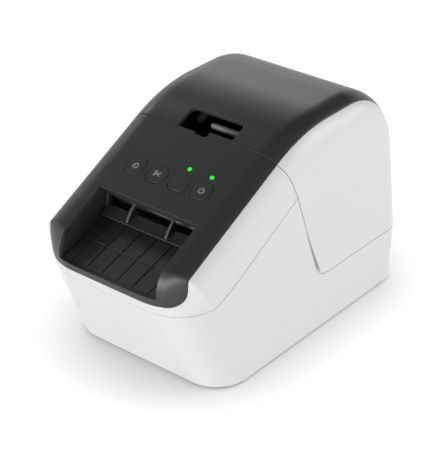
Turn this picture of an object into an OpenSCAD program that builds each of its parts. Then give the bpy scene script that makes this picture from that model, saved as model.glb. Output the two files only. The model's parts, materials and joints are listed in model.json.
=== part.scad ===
// Desktop thermal label printer: sloping front with a label bay and four keys, a rear-hinged
// roll cover, and a feed, print and cutter unit inside. Millimetres, +X right, +Y to the rear,
// +Z up, with the origin on the surface below the middle of the body.

/* [Body] */
// Overall width
body_w = 125.3; // [124:0.1:128]
// Overall depth
body_d = 213; // [212:0.5:216]
// Overall height above the surface
body_h = 142; // [141:0.5:145]
// Wall of the outer covers
wall = 2.6; // [2.2:0.1:2.8]
// Angle of the sloping front
slope_angle = 27.1; // [26.5:0.1:28]
// Radius of the nose, seen from the side
nose_r = 19; // [18.5:0.1:19.5]
// Height of the roof above the foremost point of the nose
nose_drop = 69.7; // [68.5:0.1:70]
// Radius of the roof behind the slope
dome_r = 108; // [106:1:112]
// Radius of the upper rear corner
rear_r = 46; // [44:1:47]
// Radius of the long upper edges
edge_r = 19; // [17:0.5:19]
// Radius of the upright rear corners
rear_corner_r = 17.4; // [16:0.2:18]
// Distance by which the foot of the front face stands back
front_setback = 28.8; // [27:0.2:30]
// Gap under the body, which the feet hold
foot_gap = 1.7; // [1.4:0.1:2.2]
// Distance of the seam across the front below the nose
front_seam_drop = 12.3; // [10.8:0.5:13.8]
// Height of the lower edge of the roll cover
lid_seam_z = 38.5; // [38:0.1:39.5]

/* [Front panel] */
// Width of the pale cheek beside the dark panel and the dark roof
skin_margin = 8.45; // [7.65:0.1:9.65]
// Distance of the lower edge of the dark panel below the nose
skin_drop = 3.7; // [2.9:0.1:4.3]
// Width of the label bay beside the labels, on each side
bay_margin = 6.8; // [5.6:0.1:7]
// Distance of the lip in front of the label bay below the nose
lip_drop = 0.3; // [0:0.1:0.9]
// Length of the bay opening along the slope
bay_len = 32; // [30:0.5:33]
// Length of the slope, from the nose to the seam of the roll cover
slope_len = 89; // [88:0.5:89.5]
// Width of a key
key_w = 12.6; // [11:0.2:13.4]
// Distance between the centres of two keys
key_pitch = 17; // [16.4:0.1:17.6]
// Distance of the row of keys up the slope
key_s = 53; // [51:0.5:54]
// Travel of a key
key_travel = 0.8; // [0.5:0.1:0.9]
// Diameter of an indicator light
light_d = 2.6; // [2:0.1:3.2]
// Distance of the lights above the row of keys
light_rise = 10.6; // [10:0.2:12]
// Distance of the window's side edges inside the width of a roll
window_margin = 12.5; // [11:0.5:15]
// Length of the window along the roof
window_len = 16; // [12:0.5:18]

/* [Roll compartment] */
// Free width on each side of a label roll with its spool
roll_margin = 29.65; // [29.2:0.05:30.6]
// Wall of the roll compartment
tub_wall = 2; // [1.6:0.1:2.4]

/* [Feed and print unit] */
// Diameter of the rubber roller
platen_d = 13; // [12.6:0.1:13.2]
// Diameter of the roller's shaft in its bearings
shaft_d = 5; // [4.6:0.1:5.4]
// Height of the feed roller's axis above the nose
platen_rise = 13.7; // [13.5:0.1:14.1]
// Distance of the feed roller's axis behind the nose's foremost point
platen_setback = 72.5; // [72.4:0.1:72.6]
// Module of all gears
gear_m = 0.8; // [0.76:0.01:0.82]
// Teeth of the roller's gear
platen_teeth = 30; // [28:1:30]
// Teeth of the small wheel of the reduction gear
small_teeth = 16; // [16:1:17]
// Teeth of the large wheel of the reduction gear
large_teeth = 40; // [38:1:41]
// Teeth of a motor pinion
pinion_teeth = 12; // [12:1:13]
// Diameter of the feed motor
feed_motor_d = 26; // [24:0.5:27]
// Sheet of the steel chassis
sheet = 1.5; // [1.2:0.1:1.6]

/* [Cutter] */
// Stroke of the moving blade
cut_stroke = 6; // [5.4:0.1:6.4]
// Teeth of the wheel on the cutter shaft
cutter_teeth = 36; // [34:1:37]
// Teeth of the pinions that lift the blade
lift_teeth = 16; // [15:1:16]
// Thickness of both blades
blade_t = 1; // [0.8:0.1:1.1]
// Diameter of the cutter motor
cutter_motor_d = 20; // [18:0.5:20.5]

/* [Roll cover hinge] */
// Diameter of the hinge pins
hinge_pin_d = 2.4; // [2:0.1:2.6]
// Height of the hinge above the lower edge of the cover
hinge_rise = 15.5; // [15:0.1:16.5]

/* [Base] */
// Diameter of the rubber feet
foot_d = 13; // [11:0.5:15]
// Thickness of the bottom plate
floor_t = 2.4; // [2:0.1:2.8]
// Height of the circuit boards above the bottom plate
board_rise = 6; // [5:0.2:7]
// Thickness of a circuit board
board_t = 1.6; // [1.2:0.1:1.8]

/* [Fits] */
// Open seam between outer covers
seam_gap = 0.4; // [0.3:0.05:0.5]
// Free space between parts that only lie near each other
gap = 0.3; // [0.25:0.05:0.4]
// Radial clearance of a shaft in its bearing
running = 0.05; // [0.03:0.01:0.08]

/* [Hidden] */
$fn = 64;

half_w = body_w / 2;
half_d = body_d / 2;
nose_z = body_h - nose_drop;
front_seam_z = nose_z - front_seam_drop;
skin_z = nose_z - skin_drop;
lip_z = nose_z - lip_drop;
platen_z = nose_z + platen_rise;
skin_w = body_w - 2 * skin_margin;
roll_w = body_w - 2 * roll_margin;
roll_d = min(body_d - 129, body_h - 58);   // the largest roll that fits behind the print unit
bay_w = roll_w + 2 * bay_margin;
window_w = roll_w - 2 * window_margin;
platen_len = roll_w;
far = 300;

// ---- Outline of the body -------------------------------------------------------------------
top_narrowing = 1.7;      // the sides lean in by this much from the cover's edge to the roof
foot_narrowing = 0.45;    // and by this much down to the foot
rear_setback = 3.1;       // the foot of the rear face stands in by this much
roof_setback = 5.6;       // and the rear face leans in by this much up to its round corner
front_corner_r = [23.4, 27];  // radius of the front corners, at the foot and at the nose
nose_lean = -15;          // tilt of the corner sections where the nose starts
nose_steps = 9;
roof_steps = 6;
rear_steps = 9;
corner_steps = 7;

function dir(a) = [cos(a), sin(a)];
function mix(a, b, t) = a + (b - a) * t;

nose_c = [nose_r - half_d, nose_z];
front_foot = [front_setback - half_d, foot_gap];
front_reach = nose_c - front_foot;
front_angle = atan2(front_reach[1], front_reach[0]) + asin(nose_r / norm(front_reach));
front_top = nose_c[1] + nose_r * sin(front_angle + 90);
front_steps = [0, 18, lid_seam_z - foot_gap, mix(lid_seam_z, front_top, 0.5) - foot_gap];
slope_normal = 90 + slope_angle;
slope_start = nose_c + nose_r * dir(slope_normal);
roof_cz = body_h - dome_r;
roof_c = [slope_start[0]
    - (dome_r + (roof_cz - slope_start[1]) * sin(slope_normal)) / cos(slope_normal), roof_cz];
rear_c = [half_d - roof_setback - rear_r, body_h - rear_r];
rear_edge = [half_d, lid_seam_z];
rear_reach = rear_c - rear_edge;
rear_normal = atan2(rear_reach[1], rear_reach[0]) - asin(rear_r / norm(rear_reach)) - 90;
foot_normal = atan2(rear_setback, lid_seam_z - foot_gap);

// Point on the slope, s along it from the nose, at a depth below the surface
function slope_pt(s, depth = 0) = slope_start + s * dir(slope_angle) - depth * dir(slope_normal);
// Front and rear face at height z
function front_y(z) = front_foot[0] + (z - foot_gap) / tan(front_angle);
function rear_y(z) = z > lid_seam_z ? half_d - (z - lid_seam_z) * tan(rear_normal)
    : half_d - rear_setback * (lid_seam_z - z) / (lid_seam_z - foot_gap);
// Half of the body's width at height z
function half_width(z) = z > lid_seam_z
    ? half_w - top_narrowing * (z - lid_seam_z) / (body_h - lid_seam_z)
    : half_w - foot_narrowing * (lid_seam_z - z) / (lid_seam_z - foot_gap);

// A row is [y, z, angle of the normal, angle into the corner, corner radius]
function front_rows(z0) = [for (rise = front_steps)
    let (z = rise == 0 ? z0 : foot_gap + rise, t = max(0, (z - foot_gap) / (nose_z - foot_gap)))
    [front_y(z), z, front_angle + 90, nose_lean * t * t,
        mix(front_corner_r[0], front_corner_r[1], t)]];
function nose_rows() = [for (i = [0 : nose_steps])
    let (t = i / nose_steps, a = mix(front_angle + 90, slope_normal, t),
        p = nose_c + nose_r * dir(a), ease = 1 - pow(1 - t, 1.6))
    [p[0], p[1], a, mix(nose_lean, slope_angle - 90, ease),
        mix(front_corner_r[1], edge_r, ease)]];
function roof_rows() = [for (i = [0 : roof_steps])
    let (a = mix(slope_normal, 90, i / roof_steps), p = roof_c + dome_r * dir(a))
    [p[0], p[1], a, a - 180, edge_r]];
function rear_rows() = [for (i = [0 : rear_steps])
    let (a = mix(90, rear_normal, i / rear_steps), p = rear_c + rear_r * dir(a))
    [p[0], p[1], a, a - 180, mix(edge_r, rear_corner_r, i / rear_steps)]];
function foot_rows(z0) = [[half_d, lid_seam_z, 0, -180, rear_corner_r],
    [rear_y(z0), z0, -foot_normal, -180, rear_corner_r]];

// Point of a row's section at angle phi round its corner, on the surface inset by t
function section_pt(row, t, phi) =
    let (p = [row[0], row[1]], q = p + row[4] * dir(row[3]), inner = p - t * dir(row[2]),
        yz = inner + (q - inner) * (1 - sin(phi)))
    [half_width(yz[1]) - t - (row[4] - t) * (1 - cos(phi)), yz[0], yz[1]];
function section(row, t) =
    let (right = [for (i = [0 : corner_steps]) section_pt(row, t, 90 * i / corner_steps)])
    concat(right, [for (i = [corner_steps : -1 : 0]) [-right[i][0], right[i][1], right[i][2]]]);

// The whole body as one lofted solid, inset by t and cut level at z0
module body_form(t, z0) {
    rows = concat(front_rows(z0), nose_rows(), roof_rows(), rear_rows(), foot_rows(z0));
    n = len(rows);
    m = 2 * (corner_steps + 1);
    hub = n * m;
    side_x = half_width(lid_seam_z) - t;
    points = concat([for (row = rows) each section(row, t)],
        [[side_x, 0, lid_seam_z], [-side_x, 0, lid_seam_z]]);
    band = [for (i = [0 : n - 2], j = [0 : m - 2]) each
        [[i * m + j, i * m + j + 1, (i + 1) * m + j + 1],
         [i * m + j, (i + 1) * m + j + 1, (i + 1) * m + j]]];
    right = [for (i = [0 : n - 1]) [hub, i * m, ((i + 1) % n) * m]];
    left = [for (i = [0 : n - 1]) [hub + 1, ((i + 1) % n) * m + m - 1, i * m + m - 1]];
    foot = [concat([for (j = [m - 1 : -1 : 0]) j], [for (j = [0 : m - 1]) (n - 1) * m + j])];
    polyhedron(points, concat(band, right, left, foot), convexity = 6);
}

// Hollow skin of the body, open at the foot
module body_skin() {
    difference() {
        body_form(0, foot_gap);
        body_form(wall, foot_gap - 4);
    }
}

// ---- Frames and small helpers --------------------------------------------------------------
// Draws a shape given in (y, z) as a slab from x0 to x1
module slab(x0, x1) {
    translate([x0, 0, 0]) rotate([90, 0, 90]) linear_extrude(x1 - x0) children();
}

// Puts children at x and s on the slope, with +Z out of the panel and +Y up the slope
module on_slope(x, s, depth = 0) {
    p = slope_pt(s, depth);
    translate([x, p[0], p[1]]) rotate([slope_angle, 0, 0]) children();
}

// A rod along X through the point p of the side view
module rod(p, r, x0, x1) {
    translate([x0, p[0], p[1]]) rotate([0, 90, 0]) cylinder(r = r, h = x1 - x0);
}

module box(low, high) {
    translate(low) cube(high - low);
}

module rounded_square(size, r) {
    w = size[0] / 2 - r;
    h = size[1] / 2 - r;
    square([size[0], 2 * h], center = true);
    square([2 * w, size[1]], center = true);
    for (x = [-w, w], y = [-h, h]) translate([x, y]) circle(r);
}

module both_sides() {
    children();
    mirror([1, 0, 0]) children();
}

// ---- Seams ---------------------------------------------------------------------------------
seam_top = slope_pt(slope_len);
seam_mid = [seam_top[0] + 12.3, seam_top[1] - 28];
seam_low = [seam_mid[0] + (seam_mid[1] - lid_seam_z) * 0.309, lid_seam_z];
lid_corner_r = 10;
side_seam_angle = 27.8;
side_seam_foot = [seam_mid[0] - (seam_mid[1] - front_seam_z) / tan(side_seam_angle), front_seam_z];
seam_tangent = 9;

// Quadratic bend that rounds the corner b between a and c, r along each side
function bend(a, b, c, r, steps = 6) =
    let (p = b + r * (a - b) / norm(a - b), q = b + r * (c - b) / norm(c - b))
    [for (i = [0 : steps]) let (t = i / steps)
        (1 - t) * (1 - t) * p + 2 * t * (1 - t) * b + t * t * q];

lid_outline = concat([[seam_top[0] - far * sin(slope_angle), seam_top[1] + far * cos(slope_angle)],
    seam_top, seam_mid], bend(seam_mid, seam_low, [far, lid_seam_z], lid_corner_r),
    [[far, lid_seam_z], [far, far]]);
front_outline = concat([[-far, front_seam_z]],
    bend([-far, front_seam_z], side_seam_foot, seam_mid, seam_tangent), [seam_mid]);

// Everything above the seam of the roll cover, and with a seam of width t added
module lid_zone(t = 0) {
    translate([0, -0.75 * t, -t]) slab(-far, far) polygon(lid_outline);
}

// Everything above the seam between the base and the front, moved up by lift
module front_zone(lift = 0) {
    translate([0, 0, lift]) slab(-far, far)
        polygon(concat(front_outline, [[seam_mid[0], far], [-far, far]]));
}

// The dark skin's share, narrower by t on each edge
skin_corner_r = 9;
module skin_zone(t = 0) {
    w = skin_w / 2 - t;
    h = body_h - skin_z + skin_corner_r;
    translate([0, far, skin_z + t + h / 2]) rotate([90, 0, 0]) linear_extrude(2 * far)
        rounded_square([2 * w, h], skin_corner_r);
}

// ---- Layout of the mechanism ---------------------------------------------------------------
chassis_x = roll_w / 2 + 9;                       // inner faces of the side plates
plate_out = chassis_x + sheet;
platen_c = [platen_setback - half_d, platen_z];
chassis_y = [platen_c[0] - 26, platen_c[0] + 29];
chassis_z = platen_z - 46;            // top of the chassis floor
nip_z = platen_z + platen_d / 2;
train_angle = -80;                    // from the roller's gear to the reduction gear
feed_motor_angle = -35;               // from the reduction gear to the feed motor
stud_c = platen_c + gear_m * (platen_teeth + small_teeth) / 2 * dir(train_angle);
feed_motor_c = stud_c + gear_m * (large_teeth + pinion_teeth) / 2 * dir(feed_motor_angle);
cut_y = platen_c[0] - 23.7;                        // rear face of the moving blade
blade_gap = 0.1;
blade_overlap = 3;        // the moving blade passes the nip by this much at the end of its stroke
rack_spine = 1.2;
rack_pitch_y = cut_y + rack_spine + 1.1 * gear_m;
lift_c = [rack_pitch_y + gear_m * lift_teeth / 2, platen_z - 20];
cutter_motor_angle = -40;
cutter_motor_c = lift_c + gear_m * (cutter_teeth + pinion_teeth) / 2 * dir(cutter_motor_angle);
head_pin_c = [platen_c[0] + 16, nip_z + 5.5];

// ---- Base ----------------------------------------------------------------------------------
floor_top = foot_gap + floor_t;
board_z = floor_top + board_rise;
screw_spots = [[half_w - 6.25, 60.5 - half_d], [half_w - 6.25, half_d - 22.5]];
screw_r = 1.5;
boss_r = 4.2;
inlet_x = half_w - 31.65;
inlet_size = [20, 11.6];
inlet_lobe = [4.3, 3.9];   // centre and radius of the lobes of the two-pin inlet
inlet_z = board_z + board_t + inlet_size[1] / 2 + 2;
usb_x = 34.65 - half_w;
usb_size = [12, 10.8];
usb_z = board_z + board_t + usb_size[1] / 2;
rear_relief = 0.9;        // the base's rear rim is lower, so the cover's edge can swing past

module base_case() {
    color("whitesmoke") {
        difference() {
            body_skin();
            lid_zone(seam_gap);
            front_zone(0);
            box([-far, half_d - 7, lid_seam_z - seam_gap - rear_relief], [far, far, far]);
            translate([inlet_x, half_d, inlet_z]) rotate([90, 0, 0]) linear_extrude(20)
                rounded_square(inlet_size + 2 * [gap, gap], 4.4 + gap);
            translate([usb_x, half_d, usb_z]) rotate([90, 0, 0]) linear_extrude(20)
                rounded_square(usb_size + 2 * [gap, gap], 1);
        }
        both_sides() for (p = screw_spots) difference() {
            translate([p[0], p[1], floor_top + gap]) cylinder(r = boss_r, h = 16);
            translate([p[0], p[1], floor_top]) cylinder(r = screw_r + 0.02, h = 12);
        }
    }
}

// Outline of the bottom plate, inside the case
module floor_outline() {
    low = front_y(foot_gap) + wall / sin(front_angle) + gap + 0.2;
    high = rear_y(foot_gap) - wall - gap - 0.2;
    w = half_width(foot_gap) - wall - gap;
    rf = front_corner_r[0] - wall;
    rr = rear_corner_r - wall;
    for (s = [-1, 1]) {
        translate([s * (w - rf), low + rf]) circle(rf);
        translate([s * (w - rr), high - rr]) circle(rr);
    }
    translate([-w, low + rf]) square([2 * w, high - rr - low - rf]);
    translate([rf - w, low]) square([2 * (w - rf), rf]);
    translate([rr - w, high - rr]) square([2 * (w - rr), rr]);
}

foot_spots = [[half_w - 20.65, 56.5 - half_d], [half_w - 16.65, half_d - 20.5]];
foot_h = 3.4;
pillar_spots = [[chassis_x - 5, chassis_y[0] + 8], [chassis_x - 5, chassis_y[1] - 8]];
pillar_r = 3.6;
board_x = half_w - 11.15;               // outer edges of the two boards
board_y = [half_d - 84.5, half_d - 10.5];
supply_len = 58;
board_pillars = [[-8, board_y[0] + 5], [4 - board_x, board_y[0] + 5], [4 - board_x, board_y[1] - 5],
    [11, board_y[0] + 5], [board_x - 4, board_y[0] + 5],
    [board_x - 4, board_y[0] + supply_len - 5]];
screw_head_r = 2.8;

module bottom_cover() {
    color("gainsboro") difference() {
        union() {
            translate([0, 0, foot_gap]) linear_extrude(floor_t) floor_outline();
            both_sides() for (p = pillar_spots)
                translate([p[0], p[1], floor_top - 0.5])
                    cylinder(r = pillar_r, h = chassis_z - sheet - floor_top + 0.5);
            for (p = board_pillars)
                translate([p[0], p[1], floor_top - 0.5]) cylinder(r = 2.5, h = board_rise + 0.5);
        }
        both_sides() for (p = foot_spots)
            translate([p[0], p[1], 0]) cylinder(r = foot_d / 2 + 0.1, h = foot_h);
        both_sides() for (p = screw_spots) {
            translate([p[0], p[1], 0]) cylinder(r = screw_r + 0.1, h = 9);
            translate([p[0], p[1], 0]) cylinder(r = screw_head_r + 0.2, h = foot_gap + 1.2);
        }
    }
}

module rubber_feet() {
    color("dimgray") both_sides() for (p = foot_spots) translate([p[0], p[1], 0]) {
        cylinder(r1 = foot_d / 2 - 0.6, r2 = foot_d / 2, h = 1);
        translate([0, 0, 1]) cylinder(r = foot_d / 2, h = foot_h - 1);
    }
}

module case_screws() {
    color("silver") both_sides() for (p = screw_spots) translate([p[0], p[1], 0]) difference() {
        union() {
            translate([0, 0, foot_gap]) cylinder(r = screw_head_r, h = 1.2);
            translate([0, 0, foot_gap + 1.2]) cylinder(r = screw_r, h = 8);
        }
        for (a = [0, 90]) rotate(a) translate([-1.8, -0.4, 0]) cube([3.6, 0.8, foot_gap + 0.8]);
    }
}

// ---- Front ---------------------------------------------------------------------------------
module front_cover() {
    color("whitesmoke") difference() {
        intersection() {
            body_skin();
            front_zone(seam_gap);
        }
        lid_zone(seam_gap);
        skin_zone();
    }
}

key_x = [for (i = [-1.5, -0.5, 0.5, 1.5]) i * key_pitch];
key_r = 3.8;
light_x = [key_x[2], key_x[3]];
panel_board_depth = 9;
panel_boss = [[skin_w / 2 - 14.2, key_s - 9], [skin_w / 2 - 14.2, key_s + 18]];
panel_tab = [3.5, 2.4];    // where the tab in the window starts, and its length
panel_notch = [-5.8, 2.9, 1.5];
window_r = 4;

// Opening of the label bay in the panel
module bay_cut() {
    top = slope_pt(bay_len);
    w = bay_w / 2;
    box([-w, -far, lip_z], [w, top[0], slope_start[1] + far]);
}

module window_cut(s0, s1, w, depth) {
    on_slope(0, s0, depth) linear_extrude(2 * depth + 4) {
        translate([-w / 2, 0]) square([w, s1 - s0 - window_r]);
        translate([window_r - w / 2, 0]) square([w - 2 * window_r, s1 - s0]);
        for (s = [-1, 1]) translate([s * (w / 2 - window_r), s1 - s0 - window_r]) circle(window_r);
    }
}

module front_panel() {
    color("#333436") {
        difference() {
            intersection() {
                body_skin();
                skin_zone(seam_gap / 2);
            }
            difference() {
                lid_zone(seam_gap);
                on_slope(panel_tab[0], slope_len - 1, wall + 1)
                    cube([window_w / 2 - panel_tab[0] - gap, panel_tab[1] + 1, wall + 4]);
            }
            on_slope(panel_notch[0], slope_len - seam_gap - panel_notch[2], wall + 1)
                cube([panel_notch[1] - panel_notch[0], far / 10, wall + 4]);
            bay_cut();
            for (x = key_x) on_slope(x, key_s, wall + 1) linear_extrude(wall + 2)
                rounded_square([key_w, key_w] + 2 * [gap, gap], key_r + gap);
            for (x = light_x) on_slope(x, key_s + light_rise, wall + 1)
                cylinder(d = light_d + 0.1, h = wall + 2);
        }
        both_sides() for (p = panel_boss) on_slope(p[0], p[1], panel_board_depth)
            difference() {
                cylinder(r = 3, h = panel_board_depth - wall + 0.5);
                translate([0, 0, -1]) cylinder(r = 1.1, h = 5);
            }
    }
}

// One key: its cap, the flange that holds it in the panel and the stem on the switch
module key(x) {
    color("#2c2d2f") on_slope(x, key_s) {
        translate([0, 0, -wall - gap - 0.1]) linear_extrude(wall + gap + 0.4)
            rounded_square([key_w, key_w], key_r);
        translate([0, 0, -wall - gap - 1.2]) linear_extrude(1.2)
            rounded_square([key_w + 2.4, key_w + 2.4], key_r);
        translate([0, 0, -panel_board_depth + 2 + key_travel]) cylinder(r = 2, h = 3);
    }
}
module feed_button() { key(key_x[0]); }
module cut_button() { key(key_x[1]); }
module editor_button() { key(key_x[2]); }
module power_button() { key(key_x[3]); }

module light(x) {
    color("lime") on_slope(x, key_s + light_rise, panel_board_depth)
        cylinder(d = light_d, h = panel_board_depth + 0.15);
}
module editor_light() { light(light_x[0]); }
module power_light() { light(light_x[1]); }

module control_board() {
    color("darkgreen") {
        on_slope(0, key_s + 4.5, panel_board_depth + board_t) difference() {
            translate([-panel_boss[0][0] - 4, -15, 0])
                cube([2 * panel_boss[0][0] + 8, 32, board_t]);
            for (p = panel_boss, s = [-1, 1])
                translate([s * p[0], p[1] - key_s - 4.5, -1]) cylinder(r = 1.3, h = board_t + 2);
        }
        for (x = key_x) on_slope(x, key_s, panel_board_depth) {
            translate([-3, -3, -0.2]) cube([6, 6, 1.7]);
            cylinder(r = 1.6, h = 1.8);
        }
        on_slope(6 - panel_boss[0][0], key_s + 14, panel_board_depth + 0.2) cube([14, 4, 3]);
    }
}

// ---- Label bay -----------------------------------------------------------------------------
bay_side = bay_w / 2 + gap;         // inner face of the bay's side walls
bay_outer = bay_side + 1.6;
bay_floor_front = [wall - half_d + 0.6, lip_z - 0.8];
bay_floor_rear = [platen_c[0] - 32, nose_z + 10.5];
groove_pitch = 12;
groove_w = 0.8;
bay_back = bay_floor_rear[0] + 1.6;

// Side outline of the body's front, inset by t, from the lip up the slope
function nose_outline(t, s) = concat(
    [for (i = [0 : 12]) nose_c + (nose_r - t) * dir(mix(180, slope_normal, i / 12))],
    [slope_pt(s, t)]);

module exit_bay() {
    t = wall + gap;
    top_s = bay_len + 4;
    color("#26272a") difference() {
        union() {
            both_sides() slab(bay_side, bay_outer)
                polygon(concat([bay_floor_rear - [0, 8], bay_floor_front - [0, 2]],
                    nose_outline(t, top_s), [[slope_pt(top_s, t)[0], lip_z + 4]]));
            slab(-bay_outer, bay_outer) polygon([bay_floor_front, bay_floor_rear,
                [bay_back, bay_floor_rear[1]], [bay_back, lip_z - 6], [bay_floor_rear[0], lip_z - 6],
                bay_floor_rear - [0, 2], bay_floor_front - [0, 2]]);
        }
        for (i = [-2.5 : 2.5]) translate([i * groove_pitch - groove_w / 2, 0, 0])
            slab(0, groove_w) polygon([bay_floor_front + [1.5, -0.5], bay_floor_front + [1.5, 4],
                bay_floor_rear + [0.1, 4], bay_floor_rear + [0.1, -0.5]]);
        translate([-bay_side, bay_floor_front[0] + 18.6 - groove_w / 2, lip_z - 12])
            cube([2 * bay_side, groove_w, 16.6]);
    }
}

slot_low = nip_z - 3.9;      // the lip that the label slides over
slot_high = nip_z + 4.1;     // the hood above it
guide_front = bay_floor_rear[0] - 4.6;
fin_x = 15.3;
fin_t = 1.6;
label_pass = 1.4;     // the label runs out between the lip and the fins
guide_w = bay_side - gap;

module exit_guide() {
    z0 = bay_floor_rear[1] + gap;
    color("#3a3b3d") {
        intersection() {
            slab(-guide_w, guide_w) polygon([[guide_front + 1.4, z0 - 1.2], [guide_front + 3, slot_low],
                [bay_back + 4.4, slot_low + 0.6], [bay_back + 4.4, slot_low - 1.6],
                [guide_front + 6, slot_low - 2.2], [guide_front + 4, z0 - 0.2]]);
            translate([0, 0, z0 + 3]) rotate([90, 0, 0]) translate([0, 0, 50]) linear_extrude(50)
                rounded_square([2 * guide_w - 8, 9.4], 4);
        }
        slab(-guide_w, guide_w) polygon([[bay_back + gap, lip_z + 2],
            [bay_back + gap, slot_low - 0.6], [bay_back + gap + 1.6, slot_low - 0.6],
            [bay_back + gap + 1.6, lip_z + 2]]);
        for (x = [-fin_x, fin_x]) slab(x - fin_t / 2, x + fin_t / 2)
            polygon([[guide_front + 3, slot_low + label_pass], [guide_front + 7, slot_high - 1],
                [bay_back + 2.6, slot_high + 1], [bay_back + 2.6, slot_low + label_pass]]);
        both_sides() slab(guide_w - 2, guide_w) polygon([[bay_back + gap, slot_low - 2],
            [bay_back + 1.2, slot_high + 1], [bay_back + 3.4, slot_high + 1],
            [bay_back + 3.4, slot_low - 2]]);
        slab(-guide_w, guide_w) polygon([slope_pt(bay_len + 1.6, wall + gap),
            slope_pt(bay_len + 1.6, wall + gap + 1.6), [bay_back + 2, slot_high],
            [bay_back + 3.6, slot_high], slope_pt(bay_len + 3.6, wall + gap)]);
    }
}

// ---- Roll cover ----------------------------------------------------------------------------
hinge_z = lid_seam_z + hinge_rise;
ear_r = hinge_pin_d / 2 + 1.3;
hinge_c = [rear_y(hinge_z) - wall - ear_r + 0.25, hinge_z];
ear_x = [half_w - 23.85, half_w - 17.45];
lug_x = [ear_x[0] - 2.8, ear_x[1] + 2.8];
frame_w = roll_w + 18;
frame_t = 2;
frame_foot = body_h - 72;          // lower edge of the frame behind the roll
bar_s = slope_len + 12.4;
bar_depth = 9;
bar_x = [-6.5, frame_w / 2 - 3];
bar_r = 2;

module lid_top() {
    color("#2f3032") difference() {
        intersection() {
            body_skin();
            lid_zone();
            skin_zone(seam_gap / 2);
        }
        window_cut(slope_len - 12, slope_len + window_len, window_w, wall + 6);
    }
}

// A lug that holds a hinge pin, from the rear wall to the pin
module hinge_lug(x) {
    slab(x, x + 2.5) difference() {
        union() {
            translate(hinge_c) circle(ear_r + 0.4);
            polygon([hinge_c - [0, ear_r], [rear_y(hinge_z - 4) - wall + 0.4, hinge_z - 4],
                [rear_y(hinge_z + 5) - wall + 0.4, hinge_z + 5], hinge_c + [0, ear_r]]);
        }
        translate(hinge_c) circle(hinge_pin_d / 2 + 0.02);
    }
}

module lid_shell() {
    color("whitesmoke") {
        difference() {
            intersection() {
                body_skin();
                lid_zone();
            }
            skin_zone();
            both_sides() rod(hinge_c, ear_r + gap + 0.1, ear_x[0] - gap, ear_x[1] + gap);
        }
        both_sides() for (x = [lug_x[0], ear_x[1] + gap]) hinge_lug(x);
    }
}

// Side outline of the roof and rear face, inset by t, from the seam down to height z
function roof_outline(t, z) = concat(
    [for (row = concat(roof_rows(), rear_rows())) [row[0], row[1]] - t * dir(row[2])],
    [[rear_y(z) - t, z]]);
module roof_band(t0, t1, z) {
    outer = roof_outline(t0, z);
    inner = roof_outline(t1, z);
    polygon(concat(outer, [for (i = [len(inner) - 1 : -1 : 0]) inner[i]]));
}

module lid_frame() {
    t0 = wall + gap;
    color("#202123") difference() {
        union() {
            slab(-frame_w / 2, frame_w / 2) roof_band(t0, t0 + frame_t, frame_foot);
            both_sides() for (x = [26, frame_w / 2 - 2])
                slab(x, x + 2) roof_band(t0, t0 + 8.5, frame_foot);
            for (x = [24, frame_w / 2 - 6]) on_slope(x, bar_s, bar_depth)
                translate([-1, -bar_r - 1.5, -bar_r - 1.5]) cube([2, 2 * bar_r + 3, bar_depth - 1.1]);
            on_slope(-14.5, bar_s + 0.8, bar_depth) cylinder(r = 2.2, h = 2);
            on_slope(-17, bar_s + 4, bar_depth) cube([5, 4, 4.2]);
            on_slope(-17, bar_s - 1, bar_depth - 1.5) cube([5, 9, 1.8]);
        }
        slab(-far, far) polygon([seam_top + [0.8, far], seam_top + [0.8, 0], seam_mid + [0.8, 0],
            [-far, seam_mid[1]], [-far, far]]);
        window_cut(slope_len - 12, slope_len + window_len + 2, window_w + 5, wall + 4);
        rod(slope_pt(bar_s, bar_depth), bar_r + 0.02, bar_x[0] - 1, bar_x[1] + 1);
    }
}

module lid_guide_bar() {
    c = slope_pt(bar_s, bar_depth);
    color("gray") {
        rod(c, bar_r, bar_x[0] + bar_r, bar_x[1]);
        translate([bar_x[0] + bar_r, c[0], c[1]]) sphere(bar_r);
    }
}

module hinge_pins() {
    color("silver") both_sides()
        rod(hinge_c, hinge_pin_d / 2, lug_x[0] + gap, lug_x[1] - gap);
}

// ---- Roll compartment ----------------------------------------------------------------------
deck_top = lid_seam_z - 5;
roll_c = [half_d - roll_d / 2 - 14.5, lid_seam_z + roll_d / 2 - 0.5];
tub_r = roll_d / 2 + 3;
tub_x = roll_w / 2 + 1;
bulk_shift = 2.2;         // the bulkhead stands this far in front of the cover's seam
bulk_w = half_width(deck_top) - wall - gap;
slot_z = [nip_z - 3.5, nip_z + 6];
spool_slot_w = 11;        // the ends of the roll's spool stand in these slots
post_y = [half_d - 28.5, half_d - 24];

// The cover's seam seen from the side
function seam_y(z) = z > seam_mid[1]
    ? seam_mid[0] + (z - seam_mid[1]) * (seam_top[0] - seam_mid[0]) / (seam_top[1] - seam_mid[1])
    : seam_mid[0] + (seam_mid[1] - z) * (seam_low[0] - seam_mid[0]) / (seam_mid[1] - seam_low[1]);

module deck_outline() {
    r = rear_corner_r - wall;
    y0 = seam_y(deck_top) - bulk_shift - tub_wall;
    y1 = rear_y(deck_top) - wall - gap - 0.1;
    translate([-bulk_w, y0]) square([2 * bulk_w, y1 - r - y0]);
    translate([r - bulk_w, y0]) square([2 * (bulk_w - r), y1 - y0]);
    for (s = [-1, 1]) translate([s * (bulk_w - r), y1 - r]) circle(r);
}

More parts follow.
